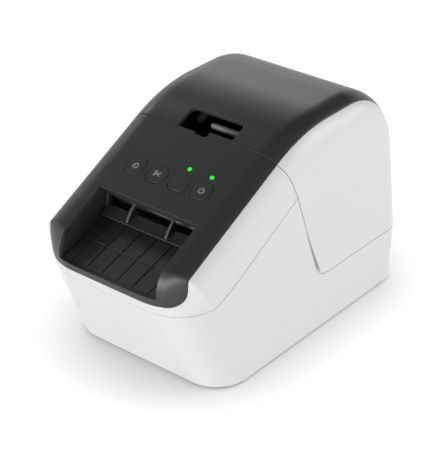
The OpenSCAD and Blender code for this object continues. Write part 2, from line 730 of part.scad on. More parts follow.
module roll_tub() {
    bulk_top = seam_top[1] - 5;
    back = bulk_shift + tub_wall;
    color("#2a2b2d") difference() {
        union() {
            difference() {
                rod(roll_c, tub_r + tub_wall, -tub_x - tub_wall, tub_x + tub_wall);
                slab(-far, far) polygon([[-far, nip_z], [roll_c[0] + 14, nip_z],
                    [roll_c[0] + 44, roll_c[1] - 14], [far, roll_c[1] - 14],
                    [far, far], [-far, far]]);
            }
            translate([0, 0, deck_top - 2]) linear_extrude(2) deck_outline();
            intersection() {
                slab(-bulk_w, bulk_w) polygon([[seam_y(deck_top - 2) - back, deck_top - 2],
                    [seam_mid[0] - back, seam_mid[1]], [seam_y(bulk_top) - back, bulk_top],
                    [seam_y(bulk_top) - bulk_shift, bulk_top], [seam_mid[0] - bulk_shift, seam_mid[1]],
                    [seam_y(deck_top - 2) - bulk_shift, deck_top - 2]]);
                translate([0, half_d, deck_top - 2]) rotate([90, 0, 0]) linear_extrude(2 * half_d)
                    rounded_square([2 * bulk_w - 2, 2 * (bulk_top - deck_top + 2)], edge_r);
            }
        }
        rod(roll_c, tub_r, -tub_x, tub_x);
        box([-tub_x, seam_mid[0] - 12, slot_z[0]], [tub_x, roll_c[0], slot_z[1]]);
        both_sides() box([tub_x - 1, roll_c[0] - spool_slot_w / 2, roll_c[1] - 8],
            [tub_x + tub_wall + 2, roll_c[0] + spool_slot_w / 2, far]);
    }
}

module hinge_brackets() {
    color("#2a2b2d") both_sides() slab(ear_x[0], ear_x[1]) difference() {
        union() {
            translate(hinge_c) circle(ear_r);
            translate([post_y[0] + 1, hinge_z - 1.5]) square([hinge_c[0] - post_y[0] - 1, 3]);
            polygon([[post_y[0] - 4, deck_top], [post_y[1], deck_top], [post_y[1], hinge_z - 1],
                [post_y[1] - 1, hinge_z + 1.5], [post_y[0] + 1, hinge_z + 1.5],
                [post_y[0], hinge_z - 1], [post_y[0], deck_top + 8]]);
        }
        translate(hinge_c) circle(hinge_pin_d / 2 + running);
    }
}

// ---- Gears ---------------------------------------------------------------------------------
addendum = 0.8;
dedendum = 1.1;
pressure = 20;
backlash = 0.1;

function polar(r, a) = r * dir(a);
function involute(a) = tan(a) * 180 / PI - a;
// Half of a tooth's angle at radius r
function half_tooth(n, r) =
    let (rp = gear_m * n / 2, base = rp * cos(pressure))
    90 / n - backlash / 2 * 180 / PI / rp + involute(pressure) - involute(acos(min(1, base / r)));
function gear_points(n, turn) =
    let (rp = gear_m * n / 2, base = rp * cos(pressure), root = rp - dedendum * gear_m,
        tip = rp + addendum * gear_m, low = max(base, root) + 0.001,
        flank = [for (i = [0 : 4]) mix(low, tip, i / 4)])
    [for (k = [0 : n - 1]) let (c = turn + 360 * k / n) each concat(
        [polar(root, c - half_tooth(n, low))],
        [for (r = flank) polar(r, c - half_tooth(n, r))],
        [for (i = [4 : -1 : 0]) polar(flank[i], c + half_tooth(n, flank[i]))],
        [polar(root, c + half_tooth(n, low))])];
// A spur gear along X on the centre c, with a tooth at the angle turn
module gear(c, n, turn, x0, x1, bore) {
    slab(x0, x1) translate(c) difference() {
        polygon(gear_points(n, turn));
        circle(bore);
    }
}
// The angle at which a wheel has a gap facing a partner that lies in direction a from it
function gap_turn(a, n) = a - 180 / n;

gear_x = [-chassis_x - 8.8, -chassis_x - 2.6];      // the roller's gear and the small wheel
large_x = [-55, -50.8];
pinion_x = [-54.8, -51.1];
cutter_gear_x = [chassis_x + 3, chassis_x + 7];

module platen_gear() {
    color("ivory") gear(platen_c, platen_teeth, train_angle, gear_x[0] + 0.4, gear_x[1],
        shaft_d / 2 + 0.02);
}

module reduction_gear() {
    bore = 2 + running;
    color("ivory") {
        gear(stud_c, small_teeth, gap_turn(train_angle + 180, small_teeth), gear_x[0], gear_x[1], bore);
        gear(stud_c, large_teeth, feed_motor_angle, large_x[0], large_x[1], bore);
    }
}

module gear_stud() {
    color("silver") {
        rod(stud_c, 2, large_x[0] - 1.4, -chassis_x);
        rod(stud_c, 3, large_x[0] - 1.1, large_x[0] - 0.3);
        rod(stud_c, 3.4, gear_x[1] + 0.2, -plate_out);
    }
}

module feed_pinion() {
    color("goldenrod") {
        gear(feed_motor_c, pinion_teeth, gap_turn(feed_motor_angle + 180, pinion_teeth),
            pinion_x[0], pinion_x[1], 1);
        rod(feed_motor_c, 1.5, pinion_x[0] - 0.6, -chassis_x + 6);
    }
}

// ---- Feed and print unit -------------------------------------------------------------------
module platen_roller() {
    color("#3c3c3c") difference() {
        rod(platen_c, platen_d / 2, -platen_len / 2, platen_len / 2);
        rod(platen_c, 3.02, -far, far);
    }
}

module platen_shaft() {
    color("silver") {
        rod(platen_c, shaft_d / 2, gear_x[0] + 0.2, plate_out + 1.5);
        rod(platen_c, 3, -platen_len / 2 - 3, platen_len / 2 + 3);
    }
}

module bush(c, bore, r) {
    difference() {
        union() {
            rod(c, r, chassis_x - 0.5, plate_out + 0.3);
            rod(c, r + 1.2, chassis_x - 1.3, chassis_x);
        }
        rod(c, bore, 0, far);
    }
}

module platen_bushes() {
    color("tan") both_sides() bush(platen_c, shaft_d / 2 + running, 4.2);
}

module feed_motor() {
    r = feed_motor_d / 2;
    color("dimgray") difference() {
        union() {
            rod(feed_motor_c, r, -chassis_x, -chassis_x + 20);
            rod(feed_motor_c, 4.5, -plate_out + 0.1, -chassis_x);
            rod(feed_motor_c, 3.5, -chassis_x + 20, -chassis_x + 21.5);
        }
        rod(feed_motor_c, 1.5 + running, -far, -chassis_x + 7);
    }
}

module chassis() {
    top = nip_z + 9.5;
    bar_top = top + 3;
    color("lightsteelblue") difference() {
        union() {
            both_sides() slab(chassis_x, plate_out) polygon([[chassis_y[0], chassis_z - sheet],
                [chassis_y[1], chassis_z - sheet], [chassis_y[1], nip_z - 12],
                [chassis_y[1] - 6, nip_z + 3.5], [chassis_y[1] - 11, top],
                [spring_y + 4.5, top], [spring_y + 4.5, bar_top], [spring_y - 4.5, bar_top],
                [spring_y - 4.5, top], [platen_c[0] - 10, top],
                [chassis_y[0], nip_z + 3]]);
            box([-plate_out, chassis_y[0], chassis_z - sheet], [plate_out, chassis_y[1], chassis_z]);
        }
        both_sides() {
            rod(platen_c, 4.22, 0, far);
            rod(lift_c, 3.62, 0, far);
            rod(head_pin_c, 1.52, 0, far);
        }
        rod(stud_c, 2.02, -far, 0);
        rod(feed_motor_c, 4.6, -far, 0);
        rod(cutter_motor_c, 3.1, 0, far);
        for (x = [-20, 20]) translate([x, platen_c[0] + 2, 0]) cylinder(r = 6, h = far);
    }
}

head_y = [platen_c[0] - 9, platen_c[0] + 10];
head_top = nip_z + 5.1;
head_w = roll_w / 2 + 3;
spring_y = platen_c[0] - 2;
spring_x = 18;
spring_r = 2.6;
wire_r = 0.4;
bar_z = nip_z + 11.1;

module head_bracket() {
    low = nip_z + 1.5;
    color("silver") difference() {
        union() {
            box([-head_w, head_y[0], low], [head_w, head_y[1], low + 2]);
            for (y = [head_y[0] : 3.6 : head_y[1] - 1])
                box([-head_w, y, low], [head_w, y + 1.2, head_top + 2.5]);
            both_sides() slab(head_w, chassis_x - 1.2) {
                translate(head_pin_c) circle(3.4);
                polygon([[head_y[0], low], [head_y[0], low + 4], head_pin_c + [0, 3.4],
                    head_pin_c - [0, 3.4], [head_y[1], low]]);
            }
        }
        both_sides() {
            rod(head_pin_c, 1.5 + running, 0, far);
            translate([spring_x, spring_y, low + 2]) cylinder(r = spring_r + 1.2, h = 20);
        }
    }
}

module thermal_head() {
    color("darkkhaki") {
        box([1.5 - head_w, head_y[0] + 0.4, nip_z + gap + 0.3],
            [head_w - 1.5, head_y[1] - 1, nip_z + 1.5]);
        box([3 - head_w, platen_c[0] - 1.2, nip_z + gap],
            [head_w - 3, platen_c[0] + 1.2, nip_z + gap + 0.4]);
    }
}

module head_pin() {
    color("silver") rod(head_pin_c, 1.5, -plate_out - 0.6, plate_out + 0.6);
}

// A coil spring along Z from z0 to z1: a round wire swept along a helix
module coil(z0, z1, r, wire, turns) {
    per_turn = 12;
    sides = 6;
    n = turns * per_turn;
    points = [for (i = [0 : n], j = [0 : sides - 1])
        let (a = 360 * i / per_turn, b = 360 * j / sides, rr = r + wire * cos(b))
        [rr * cos(a), rr * sin(a), mix(z0 + wire, z1 - wire, i / n) + wire * sin(b)]];
    skin = [for (i = [0 : n - 1], j = [0 : sides - 1]) let (k = (j + 1) % sides)
        each [[i * sides + j, i * sides + k, (i + 1) * sides + k],
              [i * sides + j, (i + 1) * sides + k, (i + 1) * sides + j]]];
    polyhedron(points, concat(skin, [[for (j = [sides - 1 : -1 : 0]) j]],
        [[for (j = [0 : sides - 1]) n * sides + j]]));
}

module head_springs() {
    color("silver") for (x = [-spring_x, spring_x]) translate([x, spring_y, 0])
        coil(nip_z + 3.5, bar_z, spring_r, wire_r, 4);
}

module spring_bar() {
    color("lightsteelblue") box([-chassis_x, spring_y - 4, bar_z],
        [chassis_x, spring_y + 4, bar_z + 1.4]);
}

guide_y = [platen_c[0] + 5, platen_c[0] + 28.2];
module paper_guide() {
    color("#2a2b2d") {
        slab(2.5 - chassis_x, chassis_x - 2.5) polygon([[guide_y[0], nip_z - 0.5], [guide_y[1], nip_z - 1.3],
            [guide_y[1], nip_z - 2.7], [guide_y[0] + 1.5, nip_z - 2]]);
        both_sides() box([chassis_x - 4, platen_c[0] + 12, nip_z - 5],
            [chassis_x, platen_c[0] + 22, nip_z - 1.6]);
    }
}

module media_sensor() {
    color("black") box([-14, platen_c[0] + 17, nip_z - 7],
        [-8, platen_c[0] + 23, nip_z - 2.6]);
}

// ---- Cutter --------------------------------------------------------------------------------
fixed_y = cut_y + blade_gap;
bar_back = fixed_y + blade_t;
post_x = [chassis_x - 4.4, chassis_x];

module cutter_frame() {
    top = nip_z + 4.8;
    color("#4a4b4d") {
        box([-chassis_x, bar_back, nip_z + 1], [chassis_x, bar_back + 2, top]);
        both_sides() {
            difference() {
                box([post_x[0], cut_y - 2.1, chassis_z], [post_x[1], bar_back + 2, top]);
                box([0, cut_y - blade_t - blade_gap, chassis_z + 1],
                    [post_x[0] + 1.2, fixed_y + blade_t, far]);
            }
            box([post_x[0] + 1, bar_back + 1, nip_z - 4.1],
                [chassis_x, cut_y + 7.7, nip_z - 2.9]);
        }
        box([-chassis_x, rack_pitch_y + 1.2, nip_z - 4.1], [chassis_x, cut_y + 15.2, nip_z - 2.9]);
    }
}

module fixed_blade() {
    color("silver") box([-post_x[0] - 1, fixed_y, nip_z - 0.1], [post_x[0] + 1, bar_back, nip_z + 4.6]);
}

rack_x = [roll_w / 2 - 3, roll_w / 2 + 3];
module rack(z0, z1) {
    pitch = PI * gear_m;
    k0 = ceil((z0 - lift_c[1]) / pitch);
    k1 = floor((z1 - lift_c[1]) / pitch) - 1;
    half = pitch / 4 - backlash / 2;
    lean = tan(pressure);
    tip = addendum * gear_m;
    root = dedendum * gear_m;
    slab(rack_x[0], rack_x[1]) {
        translate([cut_y, z0]) square([rack_spine, z1 - z0]);
        for (k = [k0 : k1]) translate([rack_pitch_y, lift_c[1] + (k + 0.5) * pitch])
            polygon([[-root - 0.1, -half - root * lean], [tip, -half + tip * lean],
                [tip, half - tip * lean], [-root - 0.1, half + root * lean]]);
    }
}

module moving_blade() {
    top = nip_z + blade_overlap - cut_stroke;
    leg = [rack_x[0] - 0.5, rack_x[1] + 0.5];
    foot = lift_c[1] - 10;
    w = post_x[0] + 0.9;
    color("silver") {
        translate([0, cut_y, 0]) rotate([90, 0, 0]) linear_extrude(blade_t) {
            polygon([[-w, top - 10], [w, top - 10], [w, top - 1.6], [-w, top]]);
            for (s = [-1, 1]) translate([s > 0 ? leg[0] : -leg[1], foot])
                square([leg[1] - leg[0], top - 9 - foot]);
        }
        both_sides() rack(foot, top - 4);
    }
}

module cutter_shaft() {
    color("silver") rod(lift_c, shaft_d / 2, -plate_out - 1.2, cutter_gear_x[1] + 1);
}

module lift_pinions() {
    color("ivory") both_sides()
        gear(lift_c, lift_teeth, 180, rack_x[0] + 0.3, rack_x[1] - 0.3, shaft_d / 2 + 0.02);
}

module cutter_gear() {
    color("ivory") gear(lift_c, cutter_teeth, cutter_motor_angle, cutter_gear_x[0],
        cutter_gear_x[1], shaft_d / 2 + 0.02);
}

module cutter_bushes() {
    color("tan") both_sides() bush(lift_c, shaft_d / 2 + running, 3.6);
}

module cutter_motor() {
    color("dimgray") difference() {
        union() {
            rod(cutter_motor_c, cutter_motor_d / 2, chassis_x - 25, chassis_x);
            rod(cutter_motor_c, 3, chassis_x, plate_out + 0.3);
        }
        rod(cutter_motor_c, 1 + running, chassis_x - 6, far);
    }
}

module cutter_pinion() {
    color("goldenrod") {
        gear(cutter_motor_c, pinion_teeth, gap_turn(cutter_motor_angle + 180, pinion_teeth),
            cutter_gear_x[0] + 0.2, cutter_gear_x[1] - 0.2, 0.8);
        rod(cutter_motor_c, 1, chassis_x - 5, cutter_gear_x[1] + 0.6);
    }
}

// ---- Electronics ---------------------------------------------------------------------------
module main_board() {
    z = board_z + board_t;
    x = -board_x;
    y = board_y[0];
    color("darkgreen") {
        box([x, y, board_z], [-3, board_y[1], z]);
        box([x + 11.5, y + 18, z], [x + 29.5, y + 36, z + 2.5]);
        box([x + 1.5, y + 44, z], [x + 11.5, y + 54, z + 1.8]);
        for (dy = [4, 11]) box([-20, y + dy, z], [-6, y + dy + 4, z + 8]);
        for (dx = [-14, -8]) translate([dx, y + 44, z]) cylinder(r = 2.5, h = 9);
    }
}

module power_supply() {
    z = board_z + board_t;
    x = board_x;
    y = board_y[0];
    color("tan") {
        box([6, y, board_z], [x, y + supply_len, z]);
        box([12, y + 22, z], [x - 17.5, y + 40, z + 16]);
        translate([x - 7.5, y + 12, z]) cylinder(r = 6.5, h = 16);
        for (dx = [14, 24]) translate([dx, y + 9, z]) cylinder(r = 4, h = 14);
        box([x - 11.5, y + 26, z], [x - 9.5, y + 54, z + 17]);
    }
}

module power_inlet() {
    y0 = board_y[0] + supply_len;
    y1 = rear_y(inlet_z) - 0.8;
    color("black") difference() {
        translate([inlet_x, y1, inlet_z]) rotate([90, 0, 0]) linear_extrude(y1 - y0 - 3)
            rounded_square(inlet_size, 4.4);
        translate([inlet_x, y1 + 1, inlet_z]) rotate([90, 0, 0]) linear_extrude(13) {
            for (s = [-1, 1]) translate([s * inlet_lobe[0], 0]) circle(inlet_lobe[1]);
            square([2 * inlet_lobe[0], 5], center = true);
        }
    }
    color("silver") for (s = [-1, 1]) translate([inlet_x + s * inlet_lobe[0], y1 - 3, inlet_z])
        rotate([90, 0, 0]) cylinder(r = 1.2, h = 11);
}

module usb_port() {
    y1 = rear_y(usb_z) - 0.8;
    color("silver") difference() {
        translate([usb_x, y1, usb_z]) rotate([90, 0, 0]) linear_extrude(17)
            rounded_square(usb_size, 0.8);
        translate([usb_x, y1 + 1, usb_z]) rotate([90, 0, 0]) linear_extrude(12)
            rounded_square(usb_size - [3.5, 3], 0.8);
    }
    color("white") translate([usb_x - 2.8, y1 - 12, usb_z - 1.6]) cube([5.6, 9.5, 3.2]);
}

base_case();
bottom_cover();
rubber_feet();
case_screws();
front_cover();
front_panel();
exit_bay();
exit_guide();
feed_button();
cut_button();
editor_button();
power_button();
editor_light();
power_light();
control_board();
lid_top();
lid_shell();
lid_frame();
lid_guide_bar();
hinge_brackets();
hinge_pins();
roll_tub();
paper_guide();
media_sensor();
chassis();
platen_roller();
platen_shaft();
platen_bushes();
platen_gear();
reduction_gear();
gear_stud();
feed_motor();
feed_pinion();
head_bracket();
thermal_head();
head_pin();
head_springs();
spring_bar();
cutter_frame();
fixed_blade();
moving_blade();
cutter_shaft();
lift_pinions();
cutter_gear();
cutter_bushes();
cutter_motor();
cutter_pinion();
main_board();
power_supply();
power_inlet();
usb_port();
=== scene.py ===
"""Looks of a desktop thermal label printer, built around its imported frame.

All lengths in the classes below are millimetres; meshes are written in metres.
"""

from __future__ import annotations

import json
import logging
import math
from dataclasses import dataclass, field
from enum import Enum
from typing import Callable

import bpy
import numpy as np
from mathutils import Matrix, Vector


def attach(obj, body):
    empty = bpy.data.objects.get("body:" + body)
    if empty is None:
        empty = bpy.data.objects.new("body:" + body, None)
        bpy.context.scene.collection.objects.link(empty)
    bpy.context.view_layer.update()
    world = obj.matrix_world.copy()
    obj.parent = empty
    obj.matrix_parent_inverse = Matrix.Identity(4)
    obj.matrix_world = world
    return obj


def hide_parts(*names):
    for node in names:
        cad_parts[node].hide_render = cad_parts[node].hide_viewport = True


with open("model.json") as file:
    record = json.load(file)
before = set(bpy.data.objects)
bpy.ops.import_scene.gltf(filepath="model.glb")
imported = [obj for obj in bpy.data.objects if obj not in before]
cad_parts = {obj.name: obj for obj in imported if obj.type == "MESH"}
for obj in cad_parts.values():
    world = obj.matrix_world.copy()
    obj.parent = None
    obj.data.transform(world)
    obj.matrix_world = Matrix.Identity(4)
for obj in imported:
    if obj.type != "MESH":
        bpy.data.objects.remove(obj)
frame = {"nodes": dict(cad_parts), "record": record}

LOG = logging.getLogger("label_printer")
Array = np.ndarray
Shape = tuple[Array, Array]  # vertices in millimetres, and faces as rows of vertex indices
Grid = tuple[Array, Array]  # grids of points and of their outward normals
Colour = tuple[float, float, float]  # display values between 0 and 1
MM = 0.001
RIGHT_ANGLE = 90.0
HALF_TURN = 180.0
NEAR = 1e-6
MIRROR = np.array([-1.0, 1.0, 1.0])
SHARP_BEND = 32.0  # edges that bend more than this many degrees are shaded sharp
HALVINGS = 32
MITRE_LIMIT = 0.6  # keeps a border's sharp corners from running out too far
FULL_TURN = 360.0
ROUND_STEPS = 36
DISC_STEPS = 40
BEVEL_FROM = 28.0  # degrees between faces from which a bevel softens their edge
MIX_FACTOR, MIX_LOW, MIX_HIGH, MIX_COLOUR = 0, 6, 7, 2  # sockets of a Mix node set to colours
BLACK = (0.0, 0.0, 0.0, 1.0)


# ---------------------------------------------------------------------------- shader sockets
class Socket:
    """A shader socket whose operators add Math nodes."""

    def __init__(self, tree: bpy.types.NodeTree, output: bpy.types.NodeSocket) -> None:
        """Wraps one output socket of a tree."""
        self.tree = tree
        self.output = output

    def _math(self, operation: str, *values: "Socket | float") -> "Socket":
        """Adds a Math node.

        Args:
            operation: the node's operation.
            values: numbers or sockets for its inputs.

        Returns:
            The node's output.
        """
        node = self.tree.nodes.new("ShaderNodeMath")
        node.operation = operation
        for slot, value in zip(node.inputs, values):
            if isinstance(value, Socket):
                self.tree.links.new(value.output, slot)
            else:
                slot.default_value = value
        return Socket(self.tree, node.outputs[0])

    def __add__(self, other: "Socket | float") -> "Socket":
        """self + other."""
        return self._math("ADD", self, other)

    __radd__ = __add__

    def __mul__(self, other: "Socket | float") -> "Socket":
        """self * other."""
        return self._math("MULTIPLY", self, other)

    __rmul__ = __mul__

    def __sub__(self, other: "Socket | float") -> "Socket":
        """self - other."""
        return self._math("SUBTRACT", self, other)

    def __rsub__(self, other: float) -> "Socket":
        """other - self."""
        return self._math("SUBTRACT", other, self)

    def __pow__(self, other: float) -> "Socket":
        """self to the power of other."""
        return self._math("POWER", self, other)

    def clamped(self) -> "Socket":
        """The value held between 0 and 1."""
        return self._math("MINIMUM", self._math("MAXIMUM", self, 0.0), 1.0)


class Shader:
    """One material's node tree, with a Principled BSDF at its end."""

    def __init__(self, name: str) -> None:
        """Starts a material of that name."""
        self.material = bpy.data.materials.new(name)
        self.material.use_nodes = True
        self.tree = self.material.node_tree
        self.surface = self.tree.nodes["Principled BSDF"]

    def node(self, kind: str, out: int | str = 0, settings: dict | None = None,
             **values: object) -> Socket:
        """Adds any node.

        Args:
            kind: the node's type name.
            out: which output to return.
            settings: properties set before the sockets.
            values: socket names, with underscores for spaces, and numbers or sockets.

        Returns:
            The chosen output.
        """
        node = self.tree.nodes.new(kind)
        for key, value in (settings or {}).items():
            setattr(node, key, value)
        for key, value in values.items():
            self.plug(node, key.replace("_", " "), value)
        return Socket(self.tree, node.outputs[out])

    def plug(self, node: bpy.types.Node, name: str | int, value: object) -> None:
        """Sets or links one input socket.

        Args:
            node: the node.
            name: the socket's name or number.
            value: a number, a vector or a colour, or the socket to link.
        """
        if isinstance(value, Socket):
            self.tree.links.new(value.output, node.inputs[name])
        else:
            node.inputs[name].default_value = value

    def set(self, **values: object) -> None:
        """Sets or links sockets of the Principled BSDF."""
        for key, value in values.items():
            self.plug(self.surface, key.replace("_", " "), value)

    def place(self) -> Socket:
        """The object coordinates."""
        return self.node("ShaderNodeTexCoord", out="Object")

    def noise(self, scale: float, detail: float = 2.0, rough: float = 0.5) -> Socket:
        """Noise on object coordinates.

        Args:
            scale: bumps per metre.
            detail: octaves.
            rough: weight of the finer octaves.

        Returns:
            The noise value.
        """
        return self.node("ShaderNodeTexNoise", Vector=self.place(), Scale=scale,
                         Detail=detail, Roughness=rough)

    def blend(self, factor: Socket, low: Socket | tuple, high: Socket | tuple) -> Socket:
        """Mixes two colours: low where the factor is 0, high where it is 1.

        Args:
            factor: the share of high.
            low, high: colours, or sockets that give them.

        Returns:
            The mixed colour.
        """
        node = self.tree.nodes.new("ShaderNodeMix")
        node.data_type = "RGBA"
        for place, value in ((MIX_FACTOR, factor), (MIX_LOW, low), (MIX_HIGH, high)):
            self.plug(node, place, value)
        return Socket(self.tree, node.outputs[MIX_COLOUR])

    def bump(self, height: Socket, distance: float) -> None:
        """Bumps the surface by a height, with its distance in metres."""
        self.set(Normal=self.node("ShaderNodeBump", Height=height, Distance=distance))


def linear(red: float, green: float, blue: float) -> tuple[float, float, float, float]:
    """An opaque scene-linear colour from display values between 0 and 1.

    Each channel is divided by 12.92 where dark, and else raised to 2.4 after an offset.
    """
    return (*(v / 12.92 if v <= 0.04045 else ((v + 0.055) / 1.055) ** 2.4
              for v in (red, green, blue)), 1.0)


def shaded(colour: Colour, factor: float) -> tuple[float, float, float, float]:
    """The scene-linear form of a display colour times a factor."""
    return linear(*(min(1.0, channel * factor) for channel in colour))


# ---------------------------------------------------------------------------------- finishes
@dataclass(frozen=True)
class MouldedPlastic:
    """Moulded plastic: a fine spark-eroded grain, slight flow shading and handling marks.

    The grain's height is in metres, and the grain's scale in cells per metre.
    """

    name: str
    colour: Colour
    roughness: float
    grain: float = 2600.0
    height: float = 0.000012
    shade: float = 0.02
    rough_spread: float = 0.06
    specular: float = 0.5
    flow_scale: float = 14.0
    mark_scale: float = 55.0

    def build(self) -> bpy.types.Material:
        """Builds the node tree.

        Returns:
            The finished material.
        """
        shader = Shader(self.name)
        flow = shader.noise(self.flow_scale, 3.0, 0.55)
        marks = shader.noise(self.mark_scale, 4.0, 0.6)
        low = linear(*(max(0.0, c - self.shade) for c in self.colour))
        high = linear(*(min(1.0, c + self.shade) for c in self.colour))
        shader.set(
            Base_Color=shader.blend(flow, low, high),
            Roughness=marks * self.rough_spread + (self.roughness - self.rough_spread / 2),
            Specular_IOR_Level=self.specular)
        shader.bump(shader.noise(self.grain), self.height)
        return shader.material


class Lay(Enum):
    """Direction of the fine lines on a metal, as the noise's scale along X, Y and Z."""

    ALONG_X = (1.0, 60.0, 60.0)
    ALONG_Y = (60.0, 1.0, 60.0)
    TURNED = (40.0, 1.0, 1.0)


@dataclass(frozen=True)
class LinedMetal:
    """Metal with rolled, ground or turned lines, and faint stains."""

    name: str
    colour: Colour
    roughness: float
    lay: Lay = Lay.ALONG_X
    line_scale: float = 60.0
    line_depth: float = 0.00001
    line_rough: float = 0.14
    stain_scale: float = 90.0
    stain_rough: float = 0.08
    stain_range: tuple[float, float] = (0.88, 1.08)

    def build(self) -> bpy.types.Material:
        """Builds the node tree.

        Returns:
            The finished material.
        """
        shader = Shader(self.name)
        stretched = shader.node("ShaderNodeMapping", Vector=shader.place(),
                                Scale=self.lay.value)
        lines = shader.node("ShaderNodeTexNoise", Vector=stretched, Scale=self.line_scale,
                            Detail=3.0)
        stains = shader.noise(self.stain_scale, 4.0, 0.6)
        low, high = (shaded(self.colour, factor) for factor in self.stain_range)
        mean = (self.line_rough + self.stain_rough) / 2
        shader.set(Base_Color=shader.blend(stains, low, high), Metallic=1.0,
                   Roughness=lines * self.line_rough + stains * self.stain_rough
                   + (self.roughness - mean))
        shader.bump(lines, self.line_depth)
        return shader.material


@dataclass(frozen=True)
class GroundRubber:
    """Rubber with a ground, slightly dusty surface."""

    name: str
    colour: Colour
    dust_scale: float = 400.0
    dust_range: tuple[float, float] = (0.85, 1.2)
    grain: float = 3000.0
    height: float = 0.00003
    roughness: float = 0.68
    rough_spread: float = 0.15
    specular: float = 0.35

    def build(self) -> bpy.types.Material:
        """Builds the node tree.

        Returns:
            The finished material.
        """
        shader = Shader(self.name)
        dust = shader.noise(self.dust_scale, 4.0, 0.65)
        low, high = (shaded(self.colour, factor) for factor in self.dust_range)
        shader.set(Base_Color=shader.blend(dust, low, high),
                   Roughness=dust * self.rough_spread + self.roughness,
                   Specular_IOR_Level=self.specular)
        shader.bump(shader.noise(self.grain), self.height)
        return shader.material


@dataclass(frozen=True)
class SignalLight:
    """Slightly cloudy green light pipe, lit from within."""

    name: str
    colour: Colour = (0.0, 0.93, 0.13)
    thin: Colour = (0.0, 0.55, 0.1)
    thick: Colour = (0.1, 0.9, 0.2)
    strength: float = 1.0
    cloud_scale: float = 900.0
    roughness: float = 0.25

    def build(self) -> bpy.types.Material:
        """Builds the node tree.

        Returns:
            The finished material.
        """
        shader = Shader(self.name)
        cloud = shader.noise(self.cloud_scale, 1.0)
        shader.set(Base_Color=shader.blend(cloud, linear(*self.thin), linear(*self.thick)),
                   Roughness=self.roughness, Emission_Color=linear(*self.colour),
                   Emission_Strength=self.strength)
        return shader.material


@dataclass(frozen=True)
class CircuitBoard:
    """Green solder mask with fine copper tracks under it and pale marks of pads."""

    name: str
    mask: Colour = (0.05, 0.30, 0.14)
    bright: Colour = (0.16, 0.46, 0.22)
    track_scale: float = 160.0
    track_height: float = 0.00004
    track_gap: float = 0.03
    pad_scale: float = 320.0
    pad_falloff: float = 3.2
    pad_share: float = 0.5
    roughness: float = 0.32
    pad_roughness: float = 0.1

    def build(self) -> bpy.types.Material:
        """Builds the node tree.

        Returns:
            The finished material.
        """
        shader = Shader(self.name)
        tracks = shader.node("ShaderNodeTexBrick", out="Fac", Vector=shader.place(),
                             Scale=self.track_scale, Mortar_Size=self.track_gap)
        cells = shader.node("ShaderNodeTexVoronoi", out="Distance", Vector=shader.place(),
                            Scale=self.pad_scale)
        pads = (1.0 - cells * self.pad_falloff).clamped()
        shader.set(Base_Color=shader.blend(tracks + pads * self.pad_share, linear(*self.mask),
                                           linear(*self.bright)),
                   Roughness=self.roughness + pads * self.pad_roughness)
        shader.bump(tracks, self.track_height)
        return shader.material


# --------------------------------------------------------------------------------- mesh tools
def angle_vector(degrees: Array) -> Array:
    """Unit vectors (cosine, sine) of angles in degrees, on a new last axis."""
    return np.stack([np.cos(np.radians(degrees)), np.sin(np.radians(degrees))], -1)


def unit(vectors: Array) -> Array:
    """Vectors over their length."""
    return vectors / np.maximum(np.linalg.norm(vectors, axis=-1, keepdims=True), 1e-12)


def mix(start: float, end: float, share: Array) -> Array:
    """start + (end - start) * share."""
    return start + (end - start) * share


def along(points: Array, fractions: Array) -> Array:
    """Walks a polyline by straight steps between its points.

    Args:
        points: n points of the polyline.
        fractions: shares of its length between 0 and 1.

    Returns:
        A point for each fraction.
    """
    steps = np.linalg.norm(np.diff(points, axis=0), axis=1)
    length = np.concatenate([[0.0], np.cumsum(steps)])
    return np.stack([np.interp(fractions * length[-1], length, column)
                     for column in points.T], -1)


def coons(bottom: Array, top: Array, left: Array, right: Array) -> Array:
    """Fills four edge curves: the two ruled surfaces added, less the one through the corners.

    Args:
        bottom, top: n points each, both from left to right.
        left, right: m points each, both from bottom to top.

    Returns:
        An m by n grid of points.
    """
    s = np.linspace(0, 1, len(bottom))[None, :, None]
    t = np.linspace(0, 1, len(left))[:, None, None]
    ruled = (1 - t) * bottom[None] + t * top[None] + (1 - s) * left[:, None] + s * right[:, None]
    corners = ((1 - s) * (1 - t) * bottom[0] + s * (1 - t) * bottom[-1]
               + (1 - s) * t * top[0] + s * t * top[-1])
    return ruled - corners


def bisect(test: Callable[[Array], Array], low: Array, high: Array) -> Array:
    """Halves an interval again and again, keeping the half in which the test turns true.

    Args:
        test: gives true or false for each value.
        low, high: the intervals' ends, false at low and true at high.

    Returns:
        The values where the test turns true.
    """
    low, high = np.array(low, float), np.array(high, float)
    for _ in range(HALVINGS):
        middle = (low + high) / 2
        passed = test(middle)
        high, low = np.where(passed, middle, high), np.where(passed, low, middle)
    return (low + high) / 2


